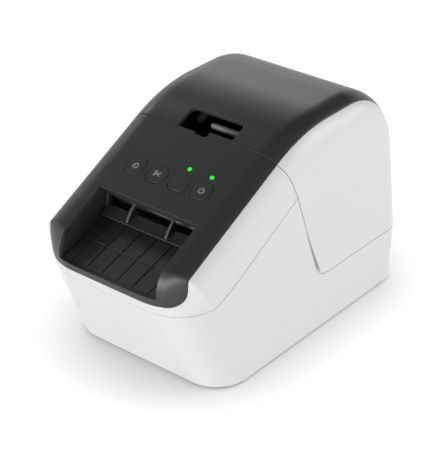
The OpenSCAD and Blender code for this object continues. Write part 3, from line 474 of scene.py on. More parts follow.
@dataclass
class Skin:
    """An open surface joined from grids of points and outward normals."""

    points: list[Array] = field(default_factory=list)
    normals: list[Array] = field(default_factory=list)
    quads: list[Array] = field(default_factory=list)
    count: int = 0

    def add(self, points: Array, normals: Array) -> None:
        """Adds a grid, its quads turned so that they look along its normals.

        Args:
            points: m by n points.
            normals: their outward normals.
        """
        m, n = points.shape[:2]
        index = np.arange(m * n).reshape(m, n)
        quads = np.stack([index[:-1, :-1], index[:-1, 1:], index[1:, 1:], index[1:, :-1]], -1)
        quads = quads.reshape(-1, 4)
        flat, up = points.reshape(-1, 3), normals.reshape(-1, 3)
        a, b, c, d = (flat[quads[:, corner]] for corner in range(4))
        face = np.cross(c - a, d - b)
        if (face * up[quads[:, 0]]).sum() < 0:
            quads = quads[:, ::-1]
        self.points.append(flat)
        self.normals.append(up)
        self.quads.append(quads + self.count)
        self.count += m * n

    def add_both(self, points: Array, normals: Array) -> None:
        """Adds a grid and its mirror image across X = 0."""
        self.add(points, normals)
        self.add(points * MIRROR, normals * MIRROR)

    def joined(self) -> tuple[Array, Array, Array]:
        """Makes vertices that coincide one, with the mean of their normals.

        Returns:
            Vertices, unit normals and quads.
        """
        points, normals = np.concatenate(self.points), np.concatenate(self.normals)
        _, first, place = np.unique(np.round(points, 3), axis=0, return_index=True,
                                    return_inverse=True)
        place = place.reshape(-1)
        total = np.zeros((len(first), 3))
        np.add.at(total, place, normals)
        return points[first], unit(total), place[np.concatenate(self.quads)]


def border(quads: Array, count: int) -> tuple[Array, Array]:
    """The border of a joined surface.

    An edge is on the border when only one face uses it; it keeps that face's direction.

    Args:
        quads: vertex indices, where a repeated index makes a triangle.
        count: the number of vertices.

    Returns:
        For each border edge its start and its end.
    """
    start, end = quads.reshape(-1), np.roll(quads, -1, axis=1).reshape(-1)
    real = start != end
    start, end = start[real], end[real]
    key = np.minimum(start, end).astype(np.int64) * count + np.maximum(start, end)
    _, place, uses = np.unique(key, return_inverse=True, return_counts=True)
    single = uses[place.reshape(-1)] == 1
    return start[single], end[single]


def thicken(skin: Skin, wall: float, edge: float, arc: int = 3) -> Shape:
    """Gives a surface its wall, with a round edge all along its border.

    The inner face is the outer one moved back by the wall. Between them, rings run round each
    border: quarter circles of radius edge from the outward tangent to the normal, and back.

    Args:
        skin: the outer surface.
        wall: its thickness.
        edge: radius of the round edge.
        arc: steps of each quarter circle.

    Returns:
        Vertices and faces of the closed shell.
    """
    points, normals, quads = skin.joined()
    count = len(points)
    start, end = border(quads, count)
    heading = unit(points[end] - points[start])
    leaving = unit(np.cross(heading, normals[start]))
    outward = np.zeros_like(points)
    np.add.at(outward, start, leaving)
    np.add.at(outward, end, unit(np.cross(heading, normals[end])))
    tangent = unit(outward)
    slant = np.ones(count)
    slant[start] = np.clip((tangent[start] * leaving).sum(-1), MITRE_LIMIT, 1.0)
    tangent = tangent / slant[:, None]
    rim = np.zeros(count, bool)
    rim[start] = True
    outer = np.where(rim[:, None], points - tangent * edge, points)
    inner = outer - normals * wall
    order = np.flatnonzero(rim)
    number = np.full(count, -1)
    number[order] = np.arange(len(order))
    angles = np.radians(np.concatenate([np.linspace(0, RIGHT_ANGLE, arc + 1)[1:],
                                        np.linspace(RIGHT_ANGLE, HALF_TURN, arc + 1)[:-1]]))
    depth = np.where(np.arange(2 * arc) < arc, edge * (1 - np.cos(angles)),
                     wall - edge - edge * np.cos(angles))
    retreat = edge * (1 - np.sin(angles))
    rings = (points[order][None] - tangent[order][None] * retreat[:, None, None]
             - normals[order][None] * depth[:, None, None])
    levels = [start, *(2 * count + k * len(order) + number[start] for k in range(2 * arc)),
              count + start]
    ends = [end, *(2 * count + k * len(order) + number[end] for k in range(2 * arc)), count + end]
    sides = [np.stack([b, a, c, d], -1) for a, b, c, d in
             zip(levels[:-1], ends[:-1], levels[1:], ends[1:])]
    vertices = np.concatenate([outer, inner, rings.reshape(-1, 3)])
    return vertices, np.concatenate([quads, quads[:, ::-1] + count, *sides])


def put(name: str, data: bpy.types.ID) -> bpy.types.Object:
    """Puts new data into the scene as an object at the origin."""
    item = bpy.data.objects.new(name, data)
    bpy.context.scene.collection.objects.link(item)
    return item


def smooth(mesh: bpy.types.Mesh) -> None:
    """Shades every face smooth."""
    mesh.polygons.foreach_set("use_smooth", np.ones(len(mesh.polygons), bool))


def make_object(name: str, vertices: Array, faces: Array,
                material: bpy.types.Material) -> bpy.types.Object:
    """Makes a mesh object at the origin from vertices in millimetres.

    Args:
        name: the piece's name.
        vertices: its points.
        faces: quads; a repeated index makes a triangle.
        material: its finish.

    Returns:
        The object.
    """
    keep = faces != np.roll(faces, -1, axis=1)
    keep &= (keep.sum(1) > 2)[:, None]
    faces, keep = faces[keep.any(1)], keep[keep.any(1)]
    sizes = keep.sum(1)
    mesh = bpy.data.meshes.new(name)
    mesh.vertices.add(len(vertices))
    mesh.vertices.foreach_set("co", (vertices * MM).astype(np.float32).ravel())
    mesh.loops.add(int(sizes.sum()))
    mesh.loops.foreach_set("vertex_index", faces[keep].astype(np.int32))
    mesh.polygons.add(len(faces))
    starts = np.concatenate([[0], np.cumsum(sizes)[:-1]]).astype(np.int32)
    mesh.polygons.foreach_set("loop_start", starts)
    mesh.update(calc_edges=True)
    mesh.validate()
    smooth(mesh)
    mesh.set_sharp_from_angle(angle=math.radians(SHARP_BEND))
    mesh.materials.append(material)
    return put(name, mesh)


def dress(piece: bpy.types.Object, body: str, slot: str, *nodes: str) -> None:
    """Lets a finished piece ride on a body and stand for CAD nodes.

    Args:
        piece: the piece.
        body: the body it moves with.
        slot: its material slot; not used.
        nodes: the CAD nodes that it takes the place of.
    """
    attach(piece, body)
    if nodes:
        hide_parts(*nodes)
    LOG.info("%s: %d faces on %s", piece.name, len(piece.data.polygons), body)


def carve(piece: bpy.types.Object, cut: Shape, crossing: bool) -> None:
    """Cuts closed shapes out of a piece for good.

    Args:
        piece: the piece, whose mesh is replaced.
        cut: the shapes.
        crossing: whether the piece's own walls may cross, which takes longer.
    """
    cutter = make_object(piece.name + "_cut", *cut, piece.data.materials[0])
    modifier = piece.modifiers.new("cut", "BOOLEAN")
    modifier.operation = "DIFFERENCE"
    modifier.solver = "EXACT"
    modifier.use_self = crossing
    modifier.object = cutter
    graph = bpy.context.evaluated_depsgraph_get()
    mesh = bpy.data.meshes.new_from_object(piece.evaluated_get(graph))
    piece.modifiers.clear()
    old, piece.data = piece.data, mesh
    mesh.name = piece.name
    bpy.data.objects.remove(cutter)
    bpy.data.meshes.remove(old)
    smooth(mesh)
    mesh.set_sharp_from_angle(angle=math.radians(SHARP_BEND))


def weigh(piece: bpy.types.Object) -> None:
    """Lets wide faces decide the shading normals, so that flats stay flat beside soft edges."""
    modifier = piece.modifiers.new("weighted", "WEIGHTED_NORMAL")
    modifier.weight = 50
    modifier.keep_sharp = True


def rounded_outline(width: float, height: float, radius: float, steps: int = 8) -> Array:
    """Runs round a rounded rectangle, as four quarter circles set apart.

    Args:
        width, height: its size.
        radius: of its corners.
        steps: of each quarter circle.

    Returns:
        Points round (0, 0), counterclockwise.
    """
    quarter = np.repeat(np.arange(4), steps + 1)
    angles = np.concatenate([np.linspace(q * RIGHT_ANGLE, (q + 1) * RIGHT_ANGLE, steps + 1)
                             for q in range(4)])
    centre = np.stack([np.where((quarter == 0) | (quarter == 3), 1, -1) * (width / 2 - radius),
                       np.where(quarter < 2, 1, -1) * (height / 2 - radius)], -1)
    return centre + radius * angle_vector(angles)


def level(outline: Array, height: float) -> Array:
    """Points (x, s, height) over the points (x, s) of an outline."""
    return np.column_stack([outline, np.full(len(outline), height)])


def tower(rings: Array) -> Shape:
    """Joins closed rings of equal size into a solid with flat ends closed by a middle point.

    Args:
        rings: k by n by 3 points, counterclockwise seen from the last ring.

    Returns:
        Vertices and faces.
    """
    k, n = rings.shape[:2]
    index = np.arange(k * n).reshape(k, n)
    after = np.roll(index, -1, axis=1)
    wall = np.stack([index[:-1], after[:-1], after[1:], index[1:]], -1).reshape(-1, 4)
    low, high = k * n, k * n + 1
    floor = np.stack([np.full(n, low), after[0], index[0], index[0]], -1)
    roof = np.stack([np.full(n, high), index[-1], after[-1], after[-1]], -1)
    points = np.concatenate([rings.reshape(-1, 3), rings[:1].mean(1), rings[-1:].mean(1)])
    return points, np.concatenate([wall, floor, roof])


def several(parts: list[Shape]) -> Shape:
    """Makes several shapes one."""
    offsets = np.cumsum([0] + [len(points) for points, _ in parts])
    return (np.concatenate([points for points, _ in parts]),
            np.concatenate([faces + shift for (_, faces), shift in zip(parts, offsets)]))


# ------------------------------------------------------------------------------ housing form
@dataclass(frozen=True)
class HousingForm:
    """The lofted outer form of the printer.

    A side outline runs from the foot of the front over nose, slope, dome and rear back to the
    foot. At each of its rows a corner section leads from the flat middle band down to the side:
    with phi from 90 to 0 degrees the point goes inward by (1 - sin phi) of the corner radius
    and out to x = half width - radius * (1 - cos phi). Round the nose the point reached at the
    side runs on a quadratic curve that leaves the front and meets the slope at given angles.
    """

    width: float = 125.3
    depth: float = 213.0
    height: float = 142.0
    slope: float = 27.1
    nose_radius: float = 19.0
    nose_height: float = 72.3
    dome_radius: float = 108.0
    rear_radius: float = 46.0
    edge_radius: float = 19.0
    rear_corner: float = 17.4
    front_corner: tuple[float, float] = (22.4, 35.6)
    nose_ease: float = 1.81
    nose_leave: float = 154.5
    nose_arrive: float = 117.9
    nose_lean: float = -20.0
    front_setback: float = 28.8
    foot: float = 1.7
    rear_seam: float = 38.5
    top_narrowing: float = 1.7
    foot_narrowing: float = 0.45
    rear_setback: float = 3.1
    roof_setback: float = 5.6
    inset: float = 0.06
    slope_length: float = 89.0
    foot_normal: float = -2.0
    waist_round: float = 0.08
    rows_per_part: int = 400
    share_step: float = 0.004
    length_step: float = 0.05

    def __post_init__(self) -> None:
        """Works out the centres and the table of rows once."""
        half = self.depth / 2
        nose = np.array([self.nose_radius - half, self.nose_height])
        foot = np.array([self.front_setback - half, self.foot])
        reach = nose - foot
        lean = math.degrees(math.atan2(reach[1], reach[0])
                            + math.asin(self.nose_radius / np.hypot(*reach)))
        up = RIGHT_ANGLE + self.slope
        start = nose + self.nose_radius * angle_vector(up)
        dome_z = self.height - self.dome_radius
        dome = np.array([start[0] - (self.dome_radius + (dome_z - start[1])
                                     * math.sin(math.radians(up))) / math.cos(math.radians(up)),
                         dome_z])
        rear = np.array([half - self.roof_setback - self.rear_radius,
                         self.height - self.rear_radius])
        edge = np.array([half, self.rear_seam])
        back = rear - edge
        fall = math.degrees(math.atan2(back[1], back[0])
                            - math.asin(self.rear_radius / np.hypot(*back))) - RIGHT_ANGLE
        keep = dict(nose=nose, front_foot=foot, front_angle=lean, up=up, slope_start=start,
                    dome=dome, rear=rear, fall=fall)
        for key, value in keep.items():
            object.__setattr__(self, key, value)
        object.__setattr__(self, "table", self._rows())

    def _rows(self) -> Array:
        """Lays the table of rows along the outline.

        Returns:
            Rows of [length along the outline, y, z, normal, inward angle, corner radius].
        """
        t = np.linspace(0, 1, self.rows_per_part)
        front = self._front_rows(t)
        nose = self._nose_rows(t, front[-1])
        turn = mix(self.up, RIGHT_ANGLE, t)
        dome = self._arc(self.dome, self.dome_radius, turn, turn - HALF_TURN,
                         0 * t + self.edge_radius)
        turn = mix(RIGHT_ANGLE, self.fall, t)
        rear = self._arc(self.rear, self.rear_radius, turn, turn - HALF_TURN,
                         mix(self.edge_radius, self.rear_corner, t))
        seam = np.array([self.depth / 2, self.rear_seam])
        heel = np.array([self.depth / 2 - self.rear_setback, self.foot])
        wall = self._line(rear[-1, :2], seam, t, self.fall, mix(rear[-1, 3], -HALF_TURN, t))
        foot = self._line(seam, heel, t, self.foot_normal, 0 * t - HALF_TURN)
        rows = np.concatenate([front, nose, dome, rear, wall, foot])
        steps = np.concatenate([[0.0], np.hypot(*np.diff(rows[:, :2], axis=0).T)])
        fresh = np.concatenate([[True], steps[1:] > 1e-9])
        return np.column_stack([np.cumsum(steps), rows])[fresh]

    def _front_rows(self, t: Array) -> Array:
        """Lays rows up the front: the section turns down by the square of the share of its height.

        Args:
            t: shares of the way from the foot to the nose.

        Returns:
            Rows as _rows takes them, without the length.
        """
        normal = self.front_angle + RIGHT_ANGLE
        top = (self.nose + self.nose_radius * angle_vector(normal))[1]
        z = self.foot + (top - self.foot) * t
        share = (z - self.foot) / (self.nose_height - self.foot)
        y = self.front_foot[0] + (z - self.foot) / math.tan(math.radians(self.front_angle))
        return np.stack([y, z, np.full_like(t, normal), self.nose_lean * share ** 2,
                         mix(*self.front_corner, share)], -1)

    def _nose_rows(self, t: Array, before: Array) -> Array:
        """Lays rows round the nose.

        Args:
            t: shares of the turn from the front to the slope.
            before: the last row of the front.

        Returns:
            Rows as _rows takes them, without the length.
        """
        turn = mix(self.front_angle + RIGHT_ANGLE, self.up, t)
        rim = self.nose + self.nose_radius * angle_vector(turn)
        first = before[:2] + before[4] * angle_vector(before[3])
        last = self.slope_start + self.edge_radius * angle_vector(self.slope - RIGHT_ANGLE)
        leave, arrive = angle_vector(self.nose_leave), angle_vector(self.nose_arrive)
        bend = first + leave * (np.cross(last - first, arrive) / np.cross(leave, arrive))
        part = (t ** self.nose_ease)[:, None]
        reach = (first * (1 - part) ** 2 + 2 * bend * part * (1 - part)
                 + last * part ** 2 - rim)
        return self._arc(self.nose, self.nose_radius, turn,
                         np.degrees(np.arctan2(reach[:, 1], reach[:, 0])), np.hypot(*reach.T))

    @staticmethod
    def _arc(centre: Array, radius: float, turn: Array, lean: Array, corner: Array) -> Array:
        """Rows round an arc."""
        return np.column_stack([centre + radius * angle_vector(turn), turn, lean, corner])

    def _line(self, start: Array, end: Array, t: Array, normal: float, lean: Array) -> Array:
        """Rows down a straight part of the rear."""
        points = start + (end - start) * t[:, None]
        return np.column_stack([points, 0 * t + normal, lean, 0 * t + self.rear_corner])

    def half_width(self, z: Array) -> Array:
        """Finds half of the width: the smaller of two leaning lines, rounded at their bend.

        Args:
            z: heights.

        Returns:
            A half width for each.
        """
        z = np.asarray(z, float)
        half = self.width / 2
        above = half - self.top_narrowing * (z - self.rear_seam) / (self.height - self.rear_seam)
        below = half - self.foot_narrowing * (self.rear_seam - z) / (self.rear_seam - self.foot)
        return (above + below - np.sqrt((above - below) ** 2 + self.waist_round ** 2)) / 2

    def slope_point(self, s: float, depth: float = 0.0) -> Array:
        """(y, z) at s up the slope and a depth below it."""
        return self.slope_start + s * angle_vector(self.slope) - depth * angle_vector(self.up)

    def up_slope(self, points: Array) -> Array:
        """How far points lie up the slope."""
        return (points[..., 1:] - self.slope_start) @ angle_vector(self.slope)

    @property
    def slope_u(self) -> float:
        """Outline length at the start of the slope."""
        gap = np.hypot(*(self.table[:, 1:3] - self.slope_start).T)
        return float(self.table[np.argmin(gap), 0])

    def section(self, u: Array, c: Array) -> Array:
        """Points of the form.

        Args:
            u: lengths along the side outline.
            c: place across: -1 at the middle, 0 at the edge of the band, 1 at the side.

        Returns:
            Points with X not negative.
        """
        u, c = np.broadcast_arrays(np.asarray(u, float), np.asarray(c, float))
        row = [np.interp(u, self.table[:, 0], self.table[:, k]) for k in (1, 2, 4, 5)]
        phi = np.radians(RIGHT_ANGLE * (1 - np.clip(c, 0, 1)))
        inward = (row[3] * (1 - np.sin(phi)))[..., None] * angle_vector(row[2])
        y, z = row[0] + inward[..., 0], row[1] + inward[..., 1]
        x = self.half_width(z) - row[3] * (1 - np.cos(phi))
        band = (np.clip(c, -1, 0) + 1) * (self.half_width(row[1]) - row[3])
        return np.stack([np.where(c < 0, band, x), y, z], -1)

    def normal(self, u: Array, c: Array) -> Array:
        """Outward unit normals: the cross product of the steps across and along.

        Args:
            u: lengths along the side outline.
            c: places across.

        Returns:
            A unit vector at each place.
        """
        u, c = np.broadcast_arrays(np.asarray(u, float), np.asarray(c, float))
        low, high = np.clip(c - self.share_step, -1, 1), np.clip(c + self.share_step, -1, 1)
        across = self.section(u, high) - self.section(u, low)
        ahead = self.section(u + self.length_step, c) - self.section(u - self.length_step, c)
        return unit(np.cross(across, ahead))

    def across(self, u: Array, x: Array) -> Array:
        """Finds where across the form a given X lies.

        The corner section is solved for the half width at the height last found, five times.

        Args:
            u: lengths along the side outline.
            x: the X wanted at each.

        Returns:
            Places across, as section takes them.
        """
        u, x = np.broadcast_arrays(np.asarray(u, float), np.asarray(x, float))
        radius = np.interp(u, self.table[:, 0], self.table[:, 5])
        z = np.interp(u, self.table[:, 0], self.table[:, 2])
        band = self.half_width(z) - radius
        c = np.zeros_like(u)
        for _ in range(5):
            half = self.half_width(self.section(u, c)[..., 2])
            phi = np.degrees(np.arccos(np.clip(1 - (half - x) / radius, -1, 1)))
            c = np.clip(1 - phi / RIGHT_ANGLE, 0, 1)
        return np.where(x < band, x / band - 1, c)

    def side_normal(self, z: Array) -> Array:
        """Outward unit normals of the flat side at heights."""
        lean = self.half_width(z + 0.5) - self.half_width(z - 0.5)
        return unit(np.stack([np.ones_like(z), 0 * z, -lean], -1))

    def dipped(self, points: Array, normals: Array) -> Array:
        """Points moved in by the small inset that keeps them inside the frame's box."""
        return points - normals * self.inset


# ------------------------------------------------------------------------------------- seams
@dataclass(frozen=True)
class Seams:
    """The curved seams between the covers, in the side view (y, z)."""

    form: HousingForm
    gap: float = 0.4
    gap_ahead: float = 0.75
    front_level: float = 60.0
    side_angle: float = 27.8
    tangent: float = 26.0
    corner: float = 10.0
    lid_bend: tuple[float, float] = (12.3, -28.0)
    lid_lean: float = 0.309
    skin_half: float = 54.2
    skin_z: float = 67.4
    skin_corner: float = 11.5
    far_front: float = -200.0
    far_rear: float = 300.0
    overrun: float = 40.0
    meeting_between: tuple[float, float] = (-30.0, 5.0)

    def __post_init__(self) -> None:
        """Works out the corner points."""
        top = self.form.slope_point(self.form.slope_length)
        mid = top + np.array(self.lid_bend)
        low = np.array([mid[0] + (mid[1] - self.form.rear_seam) * self.lid_lean,
                        self.form.rear_seam])
        foot = np.array([mid[0] - (mid[1] - self.front_level)
                         / math.tan(math.radians(self.side_angle)), self.front_level])
        for key, value in dict(top=top, mid=mid, low=low, foot=foot).items():
            object.__setattr__(self, key, value)

    @staticmethod
    def bend(a: Array, b: Array, c: Array, reach: float, steps: int = 12) -> Array:
        """Rounds the corner b of a path from a to c by a quadratic curve.

        Args:
            a, b, c: points of the path.
            reach: how far from b the curve starts and ends.
            steps: of the curve.

        Returns:
            Points of the curve.
        """
        p, q = b + reach * unit(a - b), b + reach * unit(c - b)
        t = np.linspace(0, 1, steps + 1)[:, None]
        return (1 - t) ** 2 * p + 2 * t * (1 - t) * b + t ** 2 * q

    def lid_y(self, z: Array) -> Array:
        """Y of the cover's front seam at a height."""
        tall = self.top + self.overrun * angle_vector(self.form.up)
        line = np.array([self.low, self.mid, self.top, tall])
        return np.interp(z, line[:, 1], line[:, 0])

    def front_path(self) -> Array:
        """The seam between base and front cover, from far ahead to the cover's seam."""
        ahead = np.array([self.far_front, self.front_level])
        return np.concatenate([[ahead], self.bend(ahead, self.foot, self.mid, self.tangent),
                               [self.mid]])

    def front_z(self, y: Array) -> Array:
        """Height of the seam between base and front cover at y."""
        path = self.front_path()
        path = np.concatenate([path, [path[-1] + self.overrun * angle_vector(self.side_angle)]])
        return np.interp(y, path[:, 0], path[:, 1])

    def in_lid_gap(self, points: Array) -> Array:
        """Whether points lie behind the front edge of the roll cover's gap."""
        line = self.lid_y(points[..., 2] + self.gap) - self.gap_ahead * self.gap
        return points[..., 1] > line

    def behind_lid_edge(self, points: Array) -> Array:
        """Whether points lie behind the front edge of the roll cover itself."""
        return points[..., 1] > self.lid_y(points[..., 2])

    def meeting(self, lift: float) -> Array:
        """Finds where the front seam runs into the gap of the roll cover.

        Args:
            lift: how far above the seam the line runs.

        Returns:
            (y, z) of the meeting.
        """
        def passed(y: Array) -> Array:
            """Whether the seam's point at y lies in the gap."""
            return self.in_lid_gap(np.stack([0 * y, y, self.front_z(y) + lift], -1))
        low, high = self.meeting_between
        y = bisect(passed, np.array([low]), np.array([high]))
        return np.array([y[0], self.front_z(y)[0] + lift])

    def lid_corner(self) -> Array:
        """The round lower corner of the roll cover's seam, from its steep part on."""
        return self.bend(self.mid, self.low, np.array([self.far_rear, self.low[1]]), self.corner)


@dataclass(frozen=True)
class Columns:
    """Lines along the form: at a fixed X, or at a share of the way from there to the side."""

    x: Array
    share: Array

    @staticmethod
    def at(x: Array) -> "Columns":
        """Lines at fixed X."""
        return Columns(np.asarray(x, float), np.zeros(len(x)))

    def and_side(self, steps: int) -> "Columns":
        """These lines and more of them, from the last one to the side."""
        share = np.linspace(0, 1, steps + 1)[1:]
        return Columns(np.append(self.x, np.full(steps, self.x[-1])), np.append(self.share, share))

    def part(self, low: float, high: float = math.inf) -> Array:
        """Indices of the lines whose X lies between two values."""
        return np.flatnonzero((self.x > low - NEAR) & (self.x < high + NEAR))

    def place(self, form: HousingForm, u: Array) -> Array:
        """Where the lines lie across the form at lengths u."""
        start = form.across(u, np.broadcast_to(self.x, u.shape))
        return start + (1 - start) * self.share


@dataclass
class Loft:
    """Lays grids on the housing form between lengths found along its columns."""

    form: HousingForm
    step: float = 1.3

    def find(self, columns: Columns, low: float, high: float,
             test: Callable[[Array], Array]) -> Array:
        """Finds where along each column a test turns true.

        Args:
            columns: the lines.
            low, high: lengths between which it turns.
            test: gives true or false for points.

        Returns:
            A length for each column.
        """
        def passed(u: Array) -> Array:
            """The test at lengths u."""
            return test(self.form.section(u, columns.place(self.form, u)))
        size = len(columns.x)
        return bisect(passed, np.full(size, low), np.full(size, high))

    def length_at(self, y: float, z: float) -> float:
        """Length along the side outline at the row nearest to (y, z)."""
        table = self.form.table
        return float(table[np.argmin(np.hypot(table[:, 1] - y, table[:, 2] - z)), 0])

    def grid(self, columns: Columns, low: Array, high: Array, chosen: Array | None = None,
             rows: int | None = None) -> Grid:
        """Points and normals between two lengths of each column.

        Args:
            columns: the lines.
            low, high: lengths at the first and the last row.
            chosen: which lines; all when left out.
            rows: number of steps; when left out, from the longest line and the step.

        Returns:
            Grids of points, already dipped by the inset, and of normals.
        """
        if chosen is not None:
            columns = Columns(columns.x[chosen], columns.share[chosen])
            low, high = low[chosen], high[chosen]
        rows = rows or max(2, int(np.max(np.abs(high - low)) / self.step))
        u = low + (high - low) * np.linspace(0, 1, rows + 1)[:, None]
        across = columns.place(self.form, u)
        normals = self.form.normal(u, across)
        return self.form.dipped(self.form.section(u, across), normals), normals

    def on_side(self, yz: Array) -> Array:
        """Points of the flat side, dipped by the inset."""
        x = self.form.half_width(yz[:, 1]) - self.form.inset
        return np.column_stack([x, yz])

    def side_patch(self, bottom: Array, top: Array, left: Array, right: Array) -> Grid:
        """Fills four edge curves on the flat side by their Coons patch, moved onto the side.

        Args:
            bottom, top: n points each, both from front to rear.
            left, right: m points each, both upwards.

        Returns:
            Grids of points and of normals.
        """
        grid = coons(bottom, top, left, right)
        grid[0], grid[-1], grid[:, 0], grid[:, -1] = bottom, top, left, right
        inner = grid[1:-1, 1:-1]
        inner[..., 0] = self.form.half_width(inner[..., 2]) - self.form.inset
        return grid, self.form.side_normal(grid[..., 2])


COLUMN_PITCH = 4.0
CORNER_TURNS = (10.0, 20.0, 30.0, 40.0, 49.0, 57.0, 64.5, 72.0, 90.0)  # closer where steep


def skin_columns(seams: Seams, trim: float, *breaks: float) -> tuple[Columns, Array]:
    """Columns under the dark skin's lower edge, and the height of that edge at each.

    Args:
        seams: the seams.
        trim: how far the skin's edge is drawn in.
        breaks: X values that must be columns.

    Returns:
        The columns from the middle to the skin's side edge, and heights.
    """
    straight = seams.skin_half - trim - seams.skin_corner
    stops = [0.0, *breaks, straight]
    flat = np.unique(np.round(np.concatenate(
        [np.linspace(a, b, max(1, round((b - a) / COLUMN_PITCH)) + 1)
         for a, b in zip(stops[:-1], stops[1:]) if b > a]), 9))
    turn = np.radians(CORNER_TURNS)
    x = np.concatenate([flat, straight + seams.skin_corner * np.sin(turn)])
    base = seams.skin_z + trim
    z = np.concatenate([np.full(len(flat), base), base + seams.skin_corner * (1 - np.cos(turn))])
    return Columns.at(x), z


@dataclass(frozen=True)
class PanelShape:
    """Openings and edges of the dark panel: X values, heights and places up the slope."""

    bay_half: float = 38.0
    lip_z: float = 72.0
    bay_length: float = 32.0
    notch: tuple[float, float] = (-5.8, 2.9)
    notch_depth: float = 1.5
    tab: tuple[float, float] = (3.5, 20.2)
    tab_end: float = 91.4
    lip_rows: int = 3
    field_rows: int = 22


@dataclass(frozen=True)
class WindowShape:
    """The window at the roof's front edge: half width, end up the slope, corner radius."""

    half: float = 20.5
    end: float = 105.0
    corner: float = 4.0
    corner_steps: int = 8


@dataclass
class Covers:
    """The five outer covers of the printer as thin shells with round edges."""

    form: HousingForm
    seams: Seams
    panel: PanelShape = field(default_factory=PanelShape)
    window: WindowShape = field(default_factory=WindowShape)
    wall: float = 2.6
    edge: float = 0.3
    side_steps: int = 22
    band_rows: int = 16
    cheek_rows: int = 24
    roof_start: float = 8.0
    nose_span: float = 30.0
    base_half: float = 34.0
    base_columns: int = 9
    rise_steps: int = 60
    fall_steps: int = 40
    run_steps: int = 50
    rim_relief: float = 0.9
    rim_depth: float = 7.0
    rim_blend: float = 3.0

    def __post_init__(self) -> None:
        """Finds the lengths of the form's main places."""
        self.loft = Loft(self.form)
        self.u_slope = self.form.slope_u
        self.u_roof = self.loft.length_at(self.form.dome[0] + self.roof_start, self.form.height)
        self.u_end = float(self.form.table[-1, 0])

    def shell(self, skin: Skin) -> Shape:
        """A skin with the covers' wall and round edge."""
        return thicken(skin, self.wall, self.edge)

    def nose_edge(self, columns: Columns, edge_z: Array) -> Array:
        """Lengths at which columns reach the dark skin's lower edge round the nose."""
        return self.loft.find(columns, 0.0, self.u_slope + self.nose_span,
                              lambda p: p[..., 2] > edge_z)

    def front_cover(self) -> Shape:
        """The pale front: a band under the panel, and cheeks up to the roll cover.

        Returns:
            Vertices and faces.
        """
        loft, seams = self.loft, self.seams
        below, edge_z = skin_columns(seams, 0.0)
        flat = len(below.x)
        columns = below.and_side(self.side_steps)
        lift = seams.gap
        low = loft.find(columns, 0.0, self.u_roof,
                        lambda p: p[..., 2] > seams.front_z(p[..., 1]) + lift)
        high = self.nose_edge(below, edge_z)
        share = np.arange(1, self.side_steps + 1) / self.side_steps
        high = np.append(high, mix(high[-1], self.u_slope, share))
        skin = Skin()
        lower = loft.grid(columns, low, high, rows=self.band_rows)
        skin.add_both(*lower)
        strip = np.arange(flat - 1, len(columns.x))
        seam = loft.find(columns, self.u_slope, self.u_roof, seams.in_lid_gap)
        upper = loft.grid(columns, high, seam, strip)
        skin.add_both(*upper)
        left, top = lower[0][:, -1], upper[0][:, -1]
        corner = seams.meeting(lift)
        y = np.linspace(left[0, 1], corner[0], len(top))
        bottom = loft.on_side(np.column_stack([y, seams.front_z(y) + lift]))
        bottom[-1, 1:] = corner
        bottom[0] = left[0]
        share = np.linspace(0, 1, len(left))[:, None]
        right = loft.on_side(corner + (top[-1, 1:] - corner) * share)
        right[0], right[-1] = bottom[-1], top[-1]
        skin.add_both(*loft.side_patch(bottom, top, left, right))
        return self.shell(skin)

    def front_panel(self) -> Shape:
        """The dark panel with the opening of the label bay, the notch and the tab.

        Returns:
            Vertices and faces.
        """
        loft, seams, panel = self.loft, self.seams, self.panel
        left, right = panel.notch
        columns, edge_z = skin_columns(seams, seams.gap / 2, *sorted(
            (right, panel.tab[0], -left, panel.tab[1], panel.bay_half)))
        low = self.nose_edge(columns, edge_z)
        lip = loft.find(columns, 0.0, self.u_slope, lambda p: p[..., 2] > panel.lip_z)
        outer = columns.x > panel.bay_half + NEAR
        edge = int(np.argmin(np.abs(columns.x - panel.bay_half)))
        lip = np.where(outer, low + (lip[edge] - low[edge]), lip)
        bay = np.full(len(low), self.u_slope + panel.bay_length)
        seam = loft.find(columns, self.u_slope, self.u_roof, seams.in_lid_gap)
        notch = seam - panel.notch_depth
        skin = Skin()
        skin.add_both(*loft.grid(columns, low, lip, rows=panel.lip_rows))
        skin.add_both(*loft.grid(columns, lip, bay, columns.part(panel.bay_half)))
        skin.add_both(*loft.grid(columns, bay, notch, rows=panel.field_rows))
        skin.add(*loft.grid(columns, notch, seam, columns.part(right), rows=1))
        skin.add(*(part * MIRROR for part in
                   loft.grid(columns, notch, seam, columns.part(-left), rows=1)))
        end = loft.find(columns, self.u_slope, self.u_roof,
                        lambda p: self.form.up_slope(p) > panel.tab_end)
        skin.add(*loft.grid(columns, seam, end, columns.part(*panel.tab), rows=2))
        return self.shell(skin)

    def roof(self) -> Shape:
        """The dark roof with the window at its front edge.

        Returns:
            Vertices and faces.
        """
        loft, seams, window = self.loft, self.seams, self.window
        radius = window.corner
        start = window.half - radius
        turn = np.linspace(0, RIGHT_ANGLE, window.corner_steps + 1)[1:-1]
        columns, edge_z = skin_columns(seams, seams.gap / 2, start,
                                       *(start + radius * np.sin(np.radians(turn))), window.half)
        seam = loft.find(columns, self.u_slope, self.u_roof, seams.behind_lid_edge)
        reach = window.end - radius + np.sqrt(np.clip(
            radius ** 2 - np.clip(columns.x - start, 0, radius) ** 2, 0, None))
        end = loft.find(columns, self.u_slope, self.u_roof,
                        lambda p: self.form.up_slope(p) > reach)
        low = loft.find(columns, self.u_roof, self.u_end, lambda p: p[..., 2] < edge_z)
        skin = Skin()
        skin.add_both(*loft.grid(columns, seam, end, columns.part(window.half)))
        skin.add_both(*loft.grid(columns, end, low))
        return self.shell(skin)

